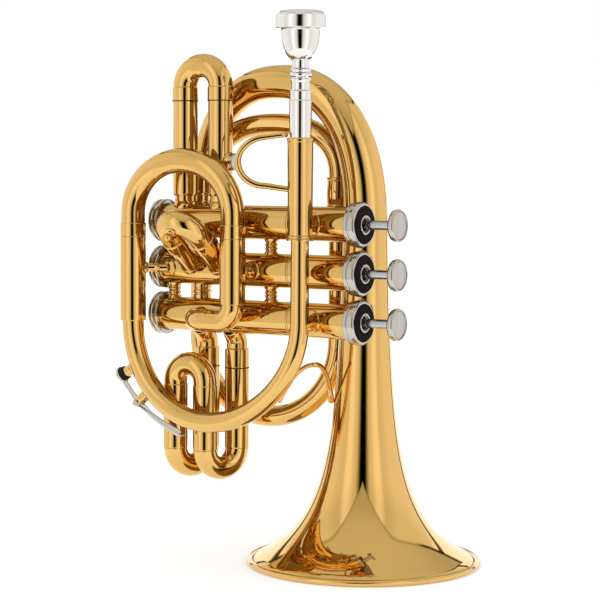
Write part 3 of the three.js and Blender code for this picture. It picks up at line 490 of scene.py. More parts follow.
class Slot(Enum):
    """The record's material slots."""

    BRASS = "lacquered_brass"
    SILVER = "silver_plate"
    NICKEL = "nickel"
    STEEL = "piston_metal"
    CORK = "key_cork"
    FELT = "black_felt"
    PEARL = "pearl"


@dataclass(frozen=True)
class Finish:
    """The surface of a slot, in two close tones that a texture mixes."""

    slot: Slot
    tone: Colour
    deep: Colour

    def material(self) -> bpy.types.Material:
        """The node material, made once for each finish."""
        name = f"{self.slot.value}_finish"
        if name in bpy.data.materials:
            return bpy.data.materials[name]
        made = bpy.data.materials.new(name)
        made.use_nodes = True
        graph = Graph(made.node_tree)
        texture, inputs = self.surface(graph)
        inputs["Base Color"] = graph.mixed(texture, self.deep, self.tone)
        graph.feed(graph.nodes["Principled BSDF"], inputs)
        return made

    def surface(self, graph: Graph) -> tuple[Socket, Inputs]:
        """The texture that mixes the tones, and the shader's inputs beside its colour."""
        raise NotImplementedError


@dataclass(frozen=True)
class Polish(Finish):
    """A polished metal: tones in soft clouds, faint rubbing in the gloss and a fine ripple."""

    gloss: tuple[float, float]
    coat: float = 0.0
    ripple: float = 0.02

    def surface(self, graph: Graph) -> tuple[Socket, Inputs]:
        """Soft clouds, and a metal under a thin coat."""
        low, high = self.gloss
        rubbing = graph.new("MapRange", {"Value": graph.noise(700, 4), "To Min": low, "To Max": high})
        return graph.noise(45, 3), {
            "Roughness": rubbing.outputs["Result"], "Metallic": 1.0, "Coat Weight": self.coat,
            "Coat Roughness": 0.03, "Normal": graph.relief(graph.noise(160, 2), self.ripple, MILLIMETRE)}


@dataclass(frozen=True)
class Fibre(Finish):
    """Felt or cork, dark, with a fibrous or grained surface."""

    grain: float
    sheen: float

    def surface(self, graph: Graph) -> tuple[Socket, Inputs]:
        """Its grain, and a dull surface that the grain roughens."""
        grain = graph.noise(self.grain, 6)
        return grain, {"Roughness": 0.9, "Specular IOR Level": 0.12, "Sheen Weight": self.sheen,
                       "Normal": graph.relief(grain, 0.6, 0.1 * MILLIMETRE)}


class Shell(Finish):
    """The button's inlay: pale and glossy, with soft wavy layers."""

    def surface(self, graph: Graph) -> tuple[Socket, Inputs]:
        """Wavy layers, and a surface between shell and metal under a gloss."""
        layers = graph.new("TexWave", {"Vector": graph.place["Object"], "Scale": 55, "Distortion": 4,
                                       "Detail": 3, "Detail Scale": 1.2})
        layers.bands_direction = "Y"
        return layers.outputs["Fac"], {"Roughness": 0.22, "Metallic": 0.35, "Coat Weight": 0.5,
                                       "Coat Roughness": 0.05}


BRASS = Polish(Slot.BRASS, (0.89, 0.566, 0.184), (0.865, 0.541, 0.165), (0.035, 0.06), coat=0.2, ripple=0.012)
SILVER = Polish(Slot.SILVER, (0.95, 0.93, 0.9), (0.92, 0.9, 0.87), (0.05, 0.09))
NICKEL = Polish(Slot.NICKEL, (0.67, 0.63, 0.58), (0.61, 0.57, 0.52), (0.1, 0.16))
STEEL = Polish(Slot.STEEL, (0.62, 0.64, 0.67), (0.56, 0.58, 0.61), (0.14, 0.22))
FELT = Fibre(Slot.FELT, (0.02, 0.011, 0.011), (0.006, 0.003, 0.004), 2600, 0.02)
CORK = Fibre(Slot.CORK, (0.03, 0.029, 0.03), (0.008, 0.008, 0.009), 1500, 0.0)
PEARL = Shell(Slot.PEARL, (0.6, 0.57, 0.49), (0.55, 0.53, 0.47))


class SubAssembly:
    """A group of pieces that is built together."""

    def piece(self, name: str, bm: Mesh, node: str = "", finish: Finish = BRASS, body: str = "body") -> None:
        """Turns a shape in millimetres into a finished piece that rides on a body.

        Args:
            name: The piece's own name.
            bm: Its shape, in millimetres from the middle valve's axis.
            node: The CAD node that it stands for, if it stands for one.
            finish: What its surface is.
            body: The body that it moves with.
        """
        bmesh.ops.translate(bm, vec=VALVES_AT, verts=bm.verts)
        bmesh.ops.scale(bm, vec=(MILLIMETRE,) * 3, verts=bm.verts)
        mesh = bpy.data.meshes.new(name)
        bm.to_mesh(mesh)
        bm.free()
        mesh.shade_smooth()
        mesh.set_sharp_from_angle(angle=SHARP_EDGE)
        made = bpy.data.objects.new(name, mesh)
        bpy.context.scene.collection.objects.link(made)
        mesh.materials.append(finish.material())
        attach(made, body)
        if node:
            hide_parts(node)
        log.info("%s: %d faces on %s", name, len(mesh.polygons), body)

    def build(self) -> None:
        """Builds every piece of the group."""
        raise NotImplementedError


@dataclass
class Valves(SubAssembly):
    """Three casings with their caps, pistons and finger buttons, and what ties them together."""

    bore_r: float = 8.6
    low_x: float = -87.5
    high_x: float = 34.4
    ring_x: float = -0.8
    bottom_r: float = 11.75
    bottom_x: float = -90.3
    top_r: float = 11.9
    top_low_x: float = 34.2
    top_face_x: float = 41.0
    stem_hole_r: float = 3.6
    piston_r: float = 8.2
    piston_low_x: float = -42.5
    piston_top_x: float = 31.5
    stem_r: float = 2.4
    button_x: float = 60.2
    button_r: float = 8.5
    half_pitch: float = 12.7
    high_post_x: float = -16.5
    low_post_x: float = -80.0
    knuckle_at: tuple[float, float] = (-63.0, 2.3)

    def build(self) -> None:
        """Builds the three valves and the posts between them."""
        for number, z in enumerate(VALVE_Z, 1):
            self.casing(number, z)
            self.bottom_cap(number, z)
            self.top_cap(number, z)
            self.piston(number, z)
            self.button(number, z)
        for number, high in enumerate(VALVE_Z[:2], 1):
            pair, middle = f"{number}_{number + 1}", high - self.half_pitch
            self.baluster(f"casing_link_high_{pair}", self.high_post_x, middle)
            self.baluster(f"casing_link_low_{pair}", self.low_post_x, middle)
            self.knuckle(f"valve_knuckle_{pair}", middle)

    def casing(self, number: int, z: float) -> None:
        """A casing tube with the ring where its two halves meet."""
        ring = self.ring_x
        outer = [(CASING_R, self.low_x), (CASING_R, ring - 1.1), (CASING_R + 0.32, ring - 0.75),
                 (CASING_R + 0.32, ring + 0.05), (CASING_R + 0.06, ring + 0.3),
                 (CASING_R + 0.06, self.high_x)]
        shape = on_valve(tube(outer, self.bore_r, 72), z)
        self.piece(f"casing_{number}_tube", shape, f"valve_casing_{number}")

    def bottom_cap(self, number: int, z: float) -> None:
        """A bottom cap with a rolled rim, a groove and a vent in its face."""
        sides, r, x = 120, self.bottom_r, self.bottom_x
        skirt = self.low_x + 3.4
        shape = turned([
            (1.2, x + 0.5), (1.5, x + 0.3), (4.2, x + 0.3), (4.6, x), (r - 1.7, x), (r - 0.2, x + 0.8),
            (r, x + 1.7), (r - 0.1, x + 2.7), (r - 0.6, x + 3.0), (r - 0.6, x + 3.4), (r - 0.05, x + 3.7),
            (r, x + 4.4), (r, skirt - 0.6), (r - 0.35, skirt),
            (CASING_R + 0.2, skirt), (CASING_R + 0.2, self.low_x - 0.2), (1.2, self.low_x - 0.2),
        ], sides)
        self.piece(f"cap_bottom_{number}", on_valve(shape, z), f"bottom_cap_{number}", finish=NICKEL)

    def top_cap(self, number: int, z: float) -> None:
        """A stepped top cap, the felt on its face and the bushing round the stem."""
        sides, r, low, face = 120, self.top_r, self.top_low_x, self.top_face_x
        shape = turned([
            (CASING_R + 0.2, low), (r - 0.9, low), (r - 0.55, low + 0.3), (r - 0.55, low + 1.9),
            (r - 0.9, low + 2.2), (r - 0.9, low + 2.6), (r - 0.1, low + 2.9), (r, low + 3.3), (r, face - 1.7),
            (r - 0.25, face - 0.9), (r - 0.95, face - 0.15), (r - 1.3, face), (r - 1.9, face),
            (r - 2.0, face - 0.4), (self.stem_hole_r, face - 0.4), (self.stem_hole_r, face - 2.4),
            (CASING_R - 0.1, face - 2.4), (CASING_R - 0.1, self.high_x), (CASING_R + 0.2, self.high_x),
        ], sides)
        ribbed(shape, face - 1.75, face - 0.85, r - 0.4, sides, 0.14)
        self.piece(f"cap_top_{number}", on_valve(shape, z), f"top_cap_{number}", finish=NICKEL)

        felt = turned([
            (4.3, face - 0.35), (r - 2.15, face - 0.35), (r - 2.15, face + 0.45), (r - 2.6, face + 0.7),
            (5.4, face + 0.72), (5.2, face + 0.5), (4.3, face + 0.5),
        ], 72, edge=0.2)
        self.piece(f"cap_felt_{number}", on_valve(felt, z), finish=FELT)
        bush = turned([
            (4.05, face - 0.35), (5.05, face - 0.35), (5.1, face + 0.75), (4.8, face + 1.0),
            (4.3, face + 1.0), (4.05, face + 0.75),
        ], 64, edge=0.15)
        self.piece(f"cap_bushing_{number}", on_valve(bush, z), finish=NICKEL)

    def piston(self, number: int, z: float) -> None:
        """A hollow piston and its stem, which ends in the button."""
        low, top, r, stem = self.piston_low_x, self.piston_top_x, self.piston_r, self.stem_r
        end = self.button_x - 0.5
        shape = turned([
            (r - 0.8, low), (r, low), (r, top - 0.6), (r - 0.6, top), (stem + 0.5, top), (stem, top + 0.8),
            (stem, end - 3.0), (stem + 0.35, end - 2.4), (stem + 0.35, end), (0.6, end), (0.6, top - 1.6),
            (r - 0.8, top - 1.6),
        ], 64)
        self.piece(f"piston_{number}_and_stem", on_valve(shape, z), f"piston_{number}", STEEL,
                   f"valve_{number}")

    def button(self, number: int, z: float) -> None:
        """A finger button: a nickel cup and the pale inlay in its face."""
        mid, r = self.button_x, self.button_r
        cup = turned([
            (2.9, mid - 1.6), (4.6, mid - 2.1), (6.6, mid - 2.0), (8.1, mid - 1.3), (r, mid - 0.2),
            (r, mid + 0.9), (r - 0.3, mid + 1.7), (r - 0.75, mid + 2.05), (r - 1.1, mid + 1.9),
            (r - 1.2, mid + 1.3), (2.9, mid + 1.3),
        ], 72)
        self.piece(f"button_{number}_cup", on_valve(cup, z), f"finger_button_{number}", NICKEL,
                   f"valve_{number}")
        inlay = turned([
            (0.0, mid + 0.4), (r - 1.25, mid + 0.4), (r - 1.25, mid + 1.55), (r - 2.2, mid + 1.85),
            (r - 4.5, mid + 2.0), (0.0, mid + 2.05),
        ], 64, edge=0.3)
        self.piece(f"button_{number}_inlay", on_valve(inlay, z), "", PEARL, f"valve_{number}")

    def baluster(self, node: str, x: float, z: float) -> None:
        """A turned post between two casings, with two beads at its middle."""
        gap = self.half_pitch - CASING_R
        end, waist = gap + 0.55, (3.0, 0.0)
        half = [
            (0.25, 3.1), (0.55, 3.4), (0.95, 3.5), (1.35, 3.4), (1.65, 3.1), (1.95, 3.0), (2.3, 3.1),
            (gap - 0.45, 3.65), (gap - 0.1, 3.95), (end, 3.95),
        ]
        low, high = [(r, -h) for h, r in half[::-1]], [(r, h) for h, r in half]
        shape = solid([*low, waist, *high], 40, edge=0.12, step=0.8)
        seated(shape, gap - 0.4, gap + 1, CASING_R, Y_AXIS, 1)
        seated(shape, -gap - 1, -gap + 0.4, CASING_R, Y_AXIS, -1)
        self.piece(f"{node}_baluster", moved(shape, x, 0, z), node)

    def knuckle(self, node: str, z: float) -> None:
        """A wide port tube between two casings, with a ring at its middle."""
        gap = self.half_pitch - CASING_R
        end, (x, aside) = gap + 0.5, self.knuckle_at
        low = [(5.0, -end), (5.0, -gap + 1.6), (4.7, -gap + 1.9), (4.7, -0.75), (5.4, -0.55)]
        shape = solid(both_ends(low, 0.0))
        seated(shape, gap - 0.2, gap + 1, CASING_R, Y_AXIS, 1, aside)
        seated(shape, -gap - 1, -gap + 0.2, CASING_R, Y_AXIS, -1, aside)
        self.piece(f"{node}_tube", moved(shape, x, aside, z), node)


@dataclass
class BellWrap(SubAssembly):
    """The bell, the bows behind the valves that feed it, and the braces that hold it."""

    x: float = 27.3
    y: float = 24.0
    throat_r: float = 9.72
    flare_rise: float = 58.86
    flare_reach: float = 38.51
    flare_power: float = 1.87
    seam_z: float = 184.85
    wall: float = 0.7
    bead_r: float = 1.75
    rim_r: float = 62.6
    left: tuple[float, float] = (-77.8, 22.0)
    right: tuple[float, float] = (7.4, 30.0)
    wrap_r: float = 5.7
    tip_r: float = 6.2
    bell_ferrule_z: float = 176.0
    inner_ferrule_z: float = 198.2
    low_z: float = 118.0
    inner_low_z: float = 205.5
    inner_end: tuple[float, float] = (-64.0, 14.0)

    def radius(self, z: float) -> float:
        """The bell's outer radius at a height."""
        return self.throat_r + self.flare_rise / (1 + z / self.flare_reach) ** self.flare_power

    def build(self) -> None:
        """Builds the bell, its bows, ferrules and braces."""
        self.bell()
        self.bows()
        self.ferrule("bell_ferrule", self.left, self.bell_ferrule_z, 12.0, self.tip_r)
        self.ferrule("inner_bow_ferrule", self.right, self.inner_ferrule_z, 16.0, self.wrap_r)
        self.brace(1, VALVE_Z[0])
        self.brace(3, VALVE_Z[2])
        self.s_brace()

    def bell(self) -> None:
        """The bell: a smooth flare that dips to a groove before its rolled bead."""
        steps, lowest = 70, 5.0
        heights = [lowest + (self.seam_z - lowest) * (k / steps) ** 1.9 for k in range(steps + 1)]
        outer = [(59.25, 2.6), (58.75, 3.25), (57.95, 3.95), *((self.radius(z), z) for z in heights)]
        inner: Profile = []
        for (r0, z0), (r1, z1) in zip(outer, outer[1:]):
            along = Vector((r1 - r0, z1 - z0)).normalized()
            inner.append((r0 - along.y * self.wall, z0 + along.x * self.wall))
        inner.append((outer[-1][0] - self.wall, self.seam_z))
        centre = Vector((self.rim_r - self.bead_r, self.bead_r))
        turns = [math.radians(a) for a in range(200, 140 + 361, 15)]
        bead = [(centre.x + self.bead_r * math.cos(a), centre.y + self.bead_r * math.sin(a)) for a in turns]
        shape = turned([*bead, *outer, *inner[::-1]], 160, edge=0)
        self.piece("bell_flare", moved(shape, self.x, self.y), "bell")

    def bows(self) -> None:
        """The tapered bell bow, the long bottom bow and the inner bow into the first casing."""
        top = Vector((self.x, self.y, self.seam_z))
        left_top = Vector((*self.left, self.seam_z))
        left_joint = Vector((*self.left, self.bell_ferrule_z))
        crown = Route(half_bow(top, left_top, 72.4, lean=-2.7, squareness=2.28),
                      straight(left_top, left_joint))
        shape = bent_tube(crown, self.radius(self.seam_z), self.tip_r, self.wall, Y_AXIS, 64)
        self.piece("bell_bow_tapered", shape, "bell_bow")

        left_low = Vector((*self.left, self.low_z))
        right_low = Vector((*self.right, self.low_z))
        right_joint = Vector((*self.right, self.inner_ferrule_z))
        lower = u_bend(left_joint, left_low, right_low, right_joint, rise=-43.5)
        shape = bent_tube(lower, self.wrap_r, self.wrap_r, self.wall, Y_AXIS)
        self.piece("bottom_bow_tube", shape, "bottom_bow")

        rise = Vector((*self.right, self.inner_low_z))
        end = Vector((*self.inner_end, rise.z))
        turn = Vector((*self.inner_end, VALVE_Z[0]))
        before, after = turn + Z_AXIS * 7, Vector((turn.x, IN_CASING_R, turn.z))
        upper = Route(straight(right_joint, rise), half_bow(rise, end, 29.2, squareness=2.4),
                      straight(end, before), corner(before, turn, after))
        port, r = upper.ends[1] + end.z - 197.2, self.wrap_r
        outer = [(r, 0.0), (r, port), (r + 0.65, port + 0.2), (r + 0.65, port + 1.3), (r + 0.3, port + 1.6),
                 (r + 0.3, port + 4.4), (r + 0.65, port + 4.7), (r + 0.65, port + 5.8), (r, port + 6.1),
                 (r, upper.length - 3.4), (r + 0.5, upper.length - 3.2), (r + 0.5, upper.length)]
        shape = tube(outer, r - self.wall, 48, step=1.6)
        seated(shape, upper.length - 3.4, upper.length, CASING_R, X_AXIS, 1)
        bend(shape, upper, Vector((1, 0.6, 0)))
        self.piece("inner_bow_tube", clear_of_bore(shape, VALVE_Z[0]), "inner_bow")

    def ferrule(self, node: str, at: tuple[float, float], joint_z: float, length: float,
                tube_r: float) -> None:
        """A ferrule over a joint: a rim, a swelling barrel, a waist and a plain skirt."""
        bore, r, top, low = tube_r + 0.02, 6.9, joint_z + length / 2, joint_z - length / 2
        outer = [(r + 0.1, low), (r + 0.1, low + 0.9), (r - 0.25, low + 1.2), (r, low + length * 0.25),
                 (r + 0.15, low + length * 0.42), (r - 0.1, low + length * 0.64),
                 (r - 0.35, low + length * 0.78), (r - 0.3, top - 1.7), (r + 0.25, top - 1.3),
                 (r + 0.25, top - 0.2), (bore + 0.3, top)]
        shape = tube(outer, bore)
        self.piece(f"{node}_ring", moved(shape, *at), node)

    def brace(self, number: int, z: float) -> None:
        """A turned post from a casing's back to the bell, with a curved foot on each."""
        start, end = Vector((self.x, CASING_R - 0.25, z)), Vector((self.x, self.y, z))
        length = (end - start).length - self.radius(z) + 0.3
        foot, r = 5.4, 3.2
        half = length / 2
        outline = [(foot, 0.0), (foot, 0.9), (foot - 0.5, 1.1), (r, 1.4), (r - 0.5, half), (r, length - 1.4),
                   (foot - 0.5, length - 1.1), (foot, length - 0.9), (foot, length)]
        shape = solid(outline, 48, edge=0.1)
        seated(shape, 0.0, 1.15, CASING_R, Y_AXIS, -1)
        seated(shape, length - 1.15, length, self.radius(z), X_AXIS, 1)
        self.piece(f"bell_brace_{number}_post", aimed(shape, start, end), f"bell_brace_{number}")

    def s_brace(self) -> None:
        """The S-shaped rod from the mouthpiece pipe's bow to the bell, with flattened ends."""
        end_z, angle, r = 86.4, math.radians(37), 1.35
        reach = self.radius(end_z) + r + 0.05
        foot, crown = Vector((-1.6, -15.8, 88.6)), Vector((16.2, -8.4, 108.7))
        end = Vector((self.x - reach * math.cos(angle), self.y - reach * math.sin(angle), end_z))
        shoulder = crown.lerp(foot, 0.5)
        brow = crown.lerp(end, 0.5)
        shoulder.z = brow.z = crown.z
        brow.x = crown.x + r
        route = Route(swing(foot, shoulder, crown), swing(crown, brow, end))
        widths = [(r * 0.9, 0.0), (r * 1.25, 0.02), (r * 1.25, 0.1), (r, 0.18), (r, 0.84), (r * 1.3, 0.92),
                  (r * 1.3, 0.99)]
        self.piece("s_brace_rod", bar_along(route, widths, 0.92, Y_AXIS), "s_brace")


@dataclass
class MouthPipe(SubAssembly):
    """The mouthpiece, its receiver, the pipe that follows, the finger hook and the pipe's braces."""

    x: float = 13.4
    top_z: float = 291.5
    receiver_top: float = 226.6
    receiver_low: float = 173.6
    receiver_r: float = 6.4
    pipe_r: float = 4.65
    wall: float = 0.7
    end_r: float = 5.9
    bow_z: float = 131.0
    end_x: float = -94.1
    end_z: float = 128.0

    def build(self) -> None:
        """Builds the pipe from the mouthpiece down, then what is fixed to it."""
        self.mouthpiece()
        self.receiver()
        self.leadpipe()
        self.hook()
        self.brace(1, VALVE_Z[0], self.receiver_r)
        self.brace(3, VALVE_Z[2], self.pipe_r)

    def mouthpiece(self) -> None:
        """The mouthpiece: rounded rim, cup, beaded neck and tapered shank, bored through."""
        outer = [
            (4.3, 87.5), (5.2, 87.5), (5.9, 46.6), (6.0, 46.0), (5.75, 45.8), (5.55, 45.5), (5.55, 41.2),
            (5.4, 40.9), (5.05, 40.7), (4.8, 40.2), (4.7, 38.6), (4.75, 36.8), (4.95, 36.3), (5.3, 35.6),
            (5.3, 34.8), (4.95, 34.4), (4.9, 34.0), (5.2, 33.7), (5.65, 33.2), (5.65, 32.2), (5.2, 31.7),
            (4.9, 31.4), (4.9, 31.0), (5.2, 30.6), (5.25, 30.0), (4.95, 29.6), (4.6, 29.3), (4.5, 27.5),
            (4.55, 25.8), (4.9, 24.9), (6.0, 23.9), (7.3, 22.5), (8.6, 20.2), (9.5, 17.6), (10.1, 14.4),
            (10.35, 11.6), (10.4, 10.0), (10.9, 9.45), (12.9, 9.2), (13.4, 8.7), (13.4, 3.1), (13.25, 2.4),
            (12.75, 1.55), (11.9, 0.75), (10.9, 0.2), (10.0, 0.0),
        ]
        inner = [
            (9.2, 0.25), (8.55, 0.95), (8.2, 2.2), (8.0, 4.5), (7.6, 7.5), (6.8, 10.2), (5.4, 12.4),
            (3.4, 14.1), (2.2, 15.2), (1.9, 16.4), (1.9, 20.0), (2.6, 50.0), (4.3, 87.3),
        ]
        shape = turned([(r, -drop) for r, drop in outer + inner], 96, edge=0.1)
        self.piece("mouthpiece_turned", moved(shape, self.x, PIPE_Y, self.top_z), "mouthpiece", SILVER,
                   "mouthpiece")

    def receiver(self) -> None:
        """The receiver: a bead at the top, a slow taper and a double ring at the bottom."""
        top, low = self.receiver_top, self.receiver_low
        outer = [(7.0, low), (7.1, low + 0.9), (6.75, low + 1.15), (6.75, low + 1.4), (7.1, low + 1.65),
                 (7.0, low + 2.5), (6.45, low + 2.8), (6.7, top - 2.7), (6.75, top - 2.2), (7.0, top - 1.9),
                 (7.05, top - 0.6), (6.7, top)]
        inner = [(self.pipe_r - 0.1, low), (self.pipe_r - 0.1, 200.0), (5.5, 201.0), (6.1, top - 0.2)]
        shape = tube(outer, inner, 72, edge=0.12)
        self.piece("receiver_turned", moved(shape, self.x, PIPE_Y), "mouthpiece_receiver")

    def leadpipe(self) -> None:
        """The tapered pipe round its bow to the left sleeve, with the nipple that the water key closes."""
        route = u_bend(by_pipe(self.x, self.receiver_low + 8), by_pipe(self.x, self.bow_z),
                       by_pipe(self.end_x, self.end_z), by_pipe(self.end_x, self.end_z + 1.2), rise=-53.5,
                       lean=-5.6)
        pipe = bent_tube(route, self.pipe_r, self.end_r, self.wall, Y_AXIS, 56)
        key = WaterKey()
        start, towards = key.nipple, key.bow_middle
        surface = (towards - start).length - (self.x - self.end_x) / 2 - (self.pipe_r + self.end_r) / 2
        outer = [(3.0, 0.0), (3.0, surface - 0.8), (3.4, surface - 0.2), (3.5, surface + 1.6)]
        spout = tube(outer, 1.5, 32, edge=0.12)
        self.piece("leadpipe_tube", merged(pipe, aimed(spout, start, towards)), "leadpipe")

    def hook(self) -> None:
        """The finger hook: a wire loop out of the receiver that ends in a small ball."""
        angle, reach, r, tip = math.radians(28), 32.3, 1.75, 1.6
        high, low = 228.4, 200.2
        out = Vector((-math.cos(angle), -math.sin(angle), 0))

        def at(distance: float, z: float) -> Vector:
            return by_pipe(self.x, z) + out * distance
        side, bottom, top = (high + low) / 2, low + r, high - 2 * r
        low_bend, high_bend = at(reach * 0.58, bottom), at(reach * 0.62, high - r)
        route = Route(
            straight(at(6.4, low), low_bend), corner(low_bend, at(reach, bottom), at(reach, side)),
            corner(at(reach, side), at(reach, top), high_bend), straight(high_bend, at(6.3, high)))
        length, end_r = route.length, 1.3
        end = ball(tip, length - tip)
        profile = [(0.0, 0.0), (1.5, 0.0), (1.8, length * 0.45), (end_r, end[0][1] - 0.3), *end,
                   (0.0, length)]
        shape = bend(turned(profile, 28, edge=0.1, step=0.8), route, Vector((out.y, -out.x, 0)))
        self.piece("finger_hook_wire", shape, "finger_hook")

    def brace(self, number: int, z: float, pipe_r: float) -> None:
        """A turned post from the pipe to a casing, with a wide curved foot on the casing."""
        start, end = Vector((self.x, PIPE_Y + pipe_r - 0.3, z)), Vector((self.x, -CASING_R + 0.25, z))
        length = (end - start).length
        foot, neck = 6.2, 2.6
        pipe_foot = min(4.2, pipe_r - 0.6)
        outline = [(pipe_foot, 0.0), (pipe_foot, 0.7), (neck, 1.1), (neck, length - 1.3),
                   (foot - 0.4, length - 1.05), (foot, length - 0.8), (foot, length)]
        shape = solid(outline, 56, edge=0.1)
        seated(shape, 0.0, 0.75, pipe_r, X_AXIS, -1)
        seated(shape, length - 1.1, length, CASING_R, Y_AXIS, 1)
        self.piece(f"leadpipe_brace_{number}_post", aimed(shape, start, end), f"leadpipe_brace_{number}")


@dataclass
class TuningSlide(SubAssembly):
    """The main tuning slide in front of the valves, and the elbow into the third casing."""

    left_x: float = -94.1
    right_x: float = -28.5
    left_low: float = 127.7
    right_low: float = 138.9
    sleeve_r: float = 7.0
    sleeve_bore: float = 6.3
    sleeve_top: float = 173.4
    collar_top: float = 180.8
    leg_r: float = 5.95
    bow_r: float = 6.5
    bow_wall: float = 0.9
    body: str = "tuning_slide"

    def build(self) -> None:
        """Builds the sleeves, the slide, the elbow and the two braces to the middle casing."""
        r, bore, top = self.sleeve_r, self.sleeve_bore, self.sleeve_top
        for side, x, low in (("left", self.left_x, self.left_low), ("right", self.right_x, self.right_low)):
            outer = [(r - 0.15, low), (r, low + 0.3), (r, top)]
            bottom = self.leg_r if side == "left" else bore
            inner = [(bottom, low), (bottom, low + 2.0), (bore, low + 2.3), (bore, top)]
            sleeve = tube(outer, inner, edge=0.14)
            self.piece(f"tuning_{side}_outer", moved(sleeve, x, PIPE_Y), f"tuning_sleeve_{side}")

            seam, end = top + 0.1, self.collar_top
            outer = [(self.leg_r, low + 4), (self.leg_r, seam), (r, seam), (r, end - 0.3), (r - 0.1, end)]
            leg = tube(outer, self.leg_r - LEG_WALL, edge=0.14)
            self.piece(f"tuning_{side}_inner", moved(leg, x, PIPE_Y), f"tuning_leg_{side}", body=self.body)
        self.bow()
        self.elbow()
        self.brace("right", self.right_x, foot_x=-22.7, r=1.8, bead=2.8)
        self.brace("left", self.left_x, foot_x=-77.5, r=2.25, bead=2.7)

    def bow(self) -> None:
        """The slide's upper bow."""
        low, high = self.collar_top - 0.3, self.collar_top + 5.3
        route = u_bend(by_pipe(self.right_x, low), by_pipe(self.right_x, high), by_pipe(self.left_x, high),
                       by_pipe(self.left_x, low), rise=28.8)
        shape = bent_tube(route, self.bow_r, self.bow_r, self.bow_wall, Y_AXIS, 56)
        self.piece("tuning_bow_tube", shape, "tuning_bow", body=self.body)

    def elbow(self) -> None:
        """The elbow under the right sleeve, which turns twice and enters the third casing."""
        z, turn, port_x, r = 129.6, 8.4, -56.0, 6.1
        start, low = by_pipe(self.right_x, self.right_low + 0.4), by_pipe(self.right_x, z)
        after, port = by_pipe(self.right_x - turn, z), by_pipe(port_x, z)
        before_port, after_port = port + X_AXIS * turn, port + Y_AXIS * turn
        landing = Vector((port_x, -CASING_R + 0.3, z))
        route = Route(corner(start, low, after), straight(after, before_port),
                      corner(before_port, port, after_port), straight(after_port, landing))
        ring, end = route.ends[1] - 1.0, route.length
        seam = route.ends[0] + self.right_x - turn + 43.0
        outer = [(r, 0.0), (r, seam - 0.35), (r - 0.3, seam - 0.15), (r - 0.3, seam + 0.15), (r, seam + 0.35),
                 (r, ring - 0.6), (r + 0.28, ring - 0.4), (r + 0.28, ring + 0.4), (r, ring + 0.6),
                 (r, end - 1.6), (r + 0.55, end - 1.4), (r + 0.55, end)]
        shape = tube(outer, r - TUBE_WALL, step=1.2)
        seated(shape, end - 1.6, end, CASING_R, Y_AXIS, 1)
        bend(shape, route, Vector((0, 1, 1)))
        self.piece("third_valve_elbow_tube", clear_of_bore(shape, VALVE_Z[2]), "third_valve_elbow")

    def brace(self, side: str, x: float, foot_x: float, r: float, bead: float) -> None:
        """A post with a bead, from a sleeve to a round foot on the middle casing."""
        z, foot = VALVE_Z[1], 4.8
        start, landing = by_pipe(x, z), Vector((foot_x, -CASING_R + 0.2, z))
        length = (landing - start).length
        middle = (self.sleeve_r + length) / 2
        low, neck = self.sleeve_r, (r + bead) / 2
        post = turned([
            (0.0, low - 0.5), (r + 0.9, low - 0.5), (r + 0.9, low + 0.6), (r, low + 1.1), (r, middle - 1.2),
            (neck, middle - 0.8), (bead, middle), (neck, middle + 0.8), (r, middle + 1.2), (r, length - 0.6),
            (r + 0.6, length - 0.1), (0.0, length),
        ], 36, edge=0.12)
        base = turned([(0.0, -0.2), (foot, -0.2), (foot, 0.7), (foot - 0.5, 1.15), (0.0, 1.2)], 48)
        seated(base, -0.3, 1.3, CASING_R, Y_AXIS, -1)
        foot_at = Vector((foot_x, -CASING_R, z))
        shape = merged(aimed(post, start, landing), aimed(base, foot_at, foot_at - Y_AXIS))
        self.piece(f"sleeve_brace_{side}_post", shape, f"sleeve_brace_{side}")


def slide_loop(half_pitch: float, leg_r: float, leg_low: float, seam: float, collar_r: float,
               collar_top: float, bow_r: float, straight_top: float, rise: float) -> Mesh:
    """A slide in one bend about +Z: two inner legs, a collar on each and the bow between them.

    Args:
        half_pitch: Half the distance between its legs.
        leg_r: Radius of the inner legs.
        leg_low: Height of the legs' ends.
        seam: Height where the collars start.
        collar_r: Radius of the collars.
        collar_top: Height where the collars end.
        bow_r: Radius of the bow.
        straight_top: Height where the bow starts to turn.
        rise: Height of the bow's crown over that.

    Returns:
        The slide, standing on its legs.
    """
    foot, top = Vector((half_pitch, 0, leg_low)), Vector((half_pitch, 0, straight_top))
    far_foot, far_top = Vector((-half_pitch, 0, leg_low)), Vector((-half_pitch, 0, straight_top))
    route = u_bend(foot, top, far_top, far_foot, rise)
    near = [(leg_r, 0.0), (leg_r, seam - leg_low), (collar_r, seam - leg_low),
            (collar_r, collar_top - leg_low - 0.2), (bow_r + 0.1, collar_top - leg_low),
            (bow_r, collar_top - leg_low + 0.3)]
    return bend(tube(both_ends(near, route.length), leg_r - LEG_WALL, 48, 0.14, 1.2), route, Y_AXIS)


def stop_ring(radius: float, middle: float) -> Mesh:
    """A thin black ring round a slide, where its collar meets the sleeve."""
    half, bite = 0.32, 0.5
    return turned([(radius - bite, middle - half), (radius - 0.05, middle - half),
                   (radius + 0.08, middle - half / 2), (radius + 0.08, middle + half / 2),
                   (radius - 0.05, middle + half), (radius - bite, middle + half)], 48, edge=0.05)


